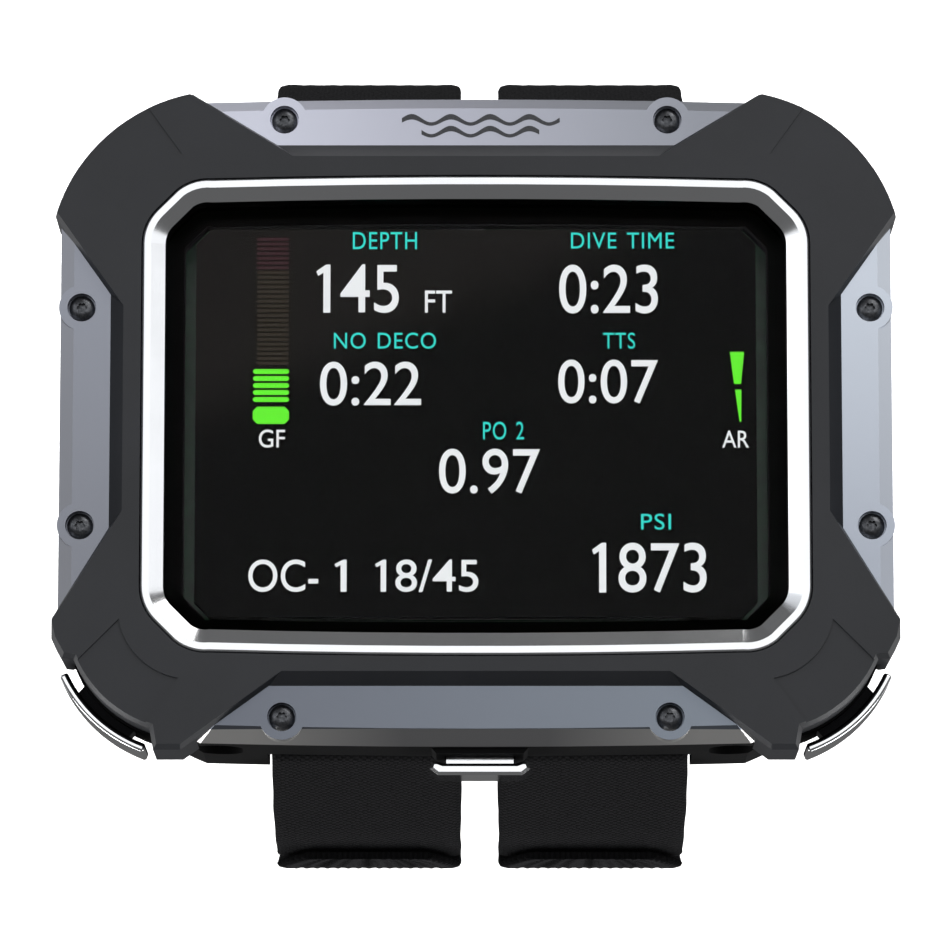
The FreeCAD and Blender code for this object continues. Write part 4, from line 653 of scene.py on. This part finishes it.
def make_word(text, ink, x, z, wide, tall):
    """One word on the display, fitted to its place and turned into a flat mesh."""
    curve = bpy.data.curves.new("word", "FONT")
    curve.body = text
    curve.resolution_u = 6
    if ink == "white":
        curve.offset = 0.004
    else:
        curve.space_character = 1.1
        curve.space_word = 1.3
    maker = bpy.data.objects.new("word", curve)
    scene.collection.objects.link(maker)
    bpy.context.view_layer.update()
    data = bpy.data.meshes.new_from_object(maker)
    bpy.data.objects.remove(maker)
    xs, ys = [v.co.x for v in data.vertices], [v.co.y for v in data.vertices]
    size_x, size_y = wide / (max(xs) - min(xs)), tall / (max(ys) - min(ys))
    mid_x, mid_y = (max(xs) + min(xs)) / 2, (max(ys) + min(ys)) / 2
    for vert in data.vertices:
        across, up = (vert.co.x - mid_x) * size_x + x, (vert.co.y - mid_y) * size_y + z
        vert.co = (across * MM, display_y, up * MM)
    mesh = bmesh.new()
    mesh.from_mesh(data)
    bpy.data.meshes.remove(data)
    name = "".join(c if c.isalnum() else "_" for c in text).lower()
    piece = finish_piece(f"word_{name}_{int(abs(x) * 10)}", mesh, INKS[ink], "case", smooth=False)


def make_flat(name, ink, outlines):
    """Flat lit shapes on the display, from lists of (x, z) in mm."""
    mesh = bmesh.new()
    for outline in outlines:
        mesh.faces.new([mesh.verts.new((x * MM, display_y, z * MM)) for x, z in outline])
    bmesh.ops.recalc_face_normals(mesh, faces=mesh.faces)
    piece = finish_piece(name, mesh, INKS[ink], "case", smooth=False)


def bar(x, z, wide, tall, cut=0.3):
    """A gauge segment with clipped corners."""
    a, b = wide / 2, tall / 2
    cut = min(cut, b * 0.8)
    return [
        (x - a + cut, z - b), (x + a - cut, z - b), (x + a, z - b + cut), (x + a, z + b - cut),
        (x + a - cut, z + b), (x - a + cut, z + b), (x - a, z + b - cut), (x - a, z - b + cut),
    ]  # fmt: skip


def one(x, z, wide, tall):
    """The outline of a figure one: a stem with a slanted flag."""
    corners = ((0.50, 0), (1, 0), (1, 1), (0.68, 1), (0, 0.86), (0.13, 0.765), (0.50, 0.83))
    return [(x + (across - 0.5) * wide, z + (up - 0.5) * tall) for across, up in corners]


for word in WORDS:
    make_word(*word)
make_flat("figure_ones", "white", [one(*place) for place in ONES])
make_flat("gauge_full", "green", [bar(-22.94, 0.78, 4.05, 1.95, 0.5)])
make_flat("gauge_steps", "green", [bar(-22.94, 2.58 + 0.795 * i, 4.05, 0.56, 0.2) for i in range(5)])
UNLIT_PITCH = 0.545
make_flat("gauge_unlit", "brown", [bar(-22.76, 6.7 + UNLIT_PITCH * i, 3.6, 0.3, 0.1) for i in range(20)])
make_flat("gauge_limit", "red", [bar(-22.8, 17.6 + UNLIT_PITCH * i, 3.6, 0.3, 0.1) for i in range(7)])
make_flat("rate_upper", "green", [[(28.9, 4.35), (29.68, 4.35), (30.05, 8.0), (28.45, 8.0)]])
make_flat("rate_lower", "green", [[(29.5, 0.05), (29.68, 0.05), (29.72, 3.7), (29.0, 3.7)]])


# ---- light, floor and camera -----------------------------------------------


def area_light(name, place, target, size, power, tone=(1, 1, 1), tall=None):
    """A softbox at place, in metres, aimed at target. It is size wide and, unless tall is given, as high."""
    data = bpy.data.lights.new(name, "AREA")
    data.shape = "RECTANGLE"
    data.size, data.size_y = size, tall or size
    data.energy = power
    data.color = tone
    lamp = bpy.data.objects.new(name, data)
    lamp.location = place
    lamp.rotation_euler = (Vector(target) - Vector(place)).to_track_quat("-Z", "Y").to_euler()
    scene.collection.objects.link(lamp)
    return lamp


def make_stage_piece(name, line, paint):
    """A wide sheet swept across the stage from a line of (y, z)."""
    mesh = bmesh.new()
    rows = [[mesh.verts.new((x, y, z)) for x in (-3.2, 3.2)] for y, z in line]
    for a, b in zip(rows, rows[1:]):
        mesh.faces.new((a[0], a[1], b[1], b[0]))
    data = bpy.data.meshes.new(name)
    mesh.to_mesh(data)
    mesh.free()
    sheet = bpy.data.objects.new(name, data)
    scene.collection.objects.link(sheet)
    data.polygons.foreach_set("use_smooth", [True] * len(data.polygons))
    data.materials.append(paint)
    return sheet


def make_floor():
    """A pale floor that curves up into a backdrop well behind the object. Neither shows in reflections, and
    the backdrop gives the object no bounced light, so that undersides stay dark."""
    base, back, bend = -0.36, 1.6, 0.5
    p = Paint("pale_floor", Roughness=0.9)
    p.colour(p.ramp(p.noise(0.004, detail=2.0), (0.3, (0.86, 0.86, 0.87)), (0.7, (0.9, 0.9, 0.9))))
    floor = make_stage_piece("floor", [(-2.4, base), (back - bend, base)], p.material)
    curve = [
        (back - bend + bend * math.sin(math.radians(a)), base + bend - bend * math.cos(math.radians(a)))
        for a in range(0, 91, 9)
    ]
    wall = make_stage_piece("backdrop", curve + [(back, 3.0)], p.material)
    floor.visible_glossy = wall.visible_glossy = wall.visible_diffuse = False


def make_world():
    """A dim, even surround."""
    world = bpy.data.worlds.new("studio")
    scene.world = world
    world.use_nodes = True
    sky = world.node_tree.nodes["Background"]
    sky.inputs["Color"].default_value = (1.0, 1.0, 1.0, 1.0)
    sky.inputs["Strength"].default_value = 0.13


def make_camera():
    """Below the object's middle and looking slightly up, from about three quarters of a metre."""
    pitch, reach = math.radians(9.57), 744.4 * MM
    aim = Vector((-0.1, -26.0, -6.66)) * MM
    data = bpy.data.cameras.new("camera")
    data.sensor_width, data.lens = 36.0, 253.9
    data.clip_start, data.clip_end = 0.01, 20.0
    camera = bpy.data.objects.new("camera", data)
    camera.location = aim - Vector((0, math.cos(pitch), math.sin(pitch))) * reach
    camera.rotation_euler = (math.radians(90) + pitch, 0, 0)
    scene.collection.objects.link(camera)
    scene.camera = camera


make_floor()
make_world()
make_camera()
area_light("front", (0.0, -0.85, 0.13), (0, 0, 0), 1.7, 2.2, (0.98, 0.99, 1.0), 0.34)
area_light("key", (0.45, -0.75, 0.75), (0, 0, 0), 0.5, 3.0, (1.0, 0.99, 0.97))
area_light("fill", (-0.8, -0.6, 0.35), (0, 0, 0), 0.6, 1.0, (0.93, 0.96, 1.0))
area_light("top", (0.0, 0.1, 0.9), (0, 0, 0), 0.7, 2.5)
area_light("rim_left", (-0.75, 0.45, 0.05), (0, 0, 0), 0.8, 1.3)
area_light("rim_right", (0.75, 0.45, 0.05), (0, 0, 0), 0.8, 1.5)
for place in (-0.33, 0.33):
    area_light("low", (place, 0.12, -0.33), (0, 0, 0), 0.26, 1.2)
backdrop = area_light("backdrop", (0.0, 0.6, 0.9), (0, 1.6, 0.2), 1.5, 24)
backdrop.data.spread = math.radians(100)
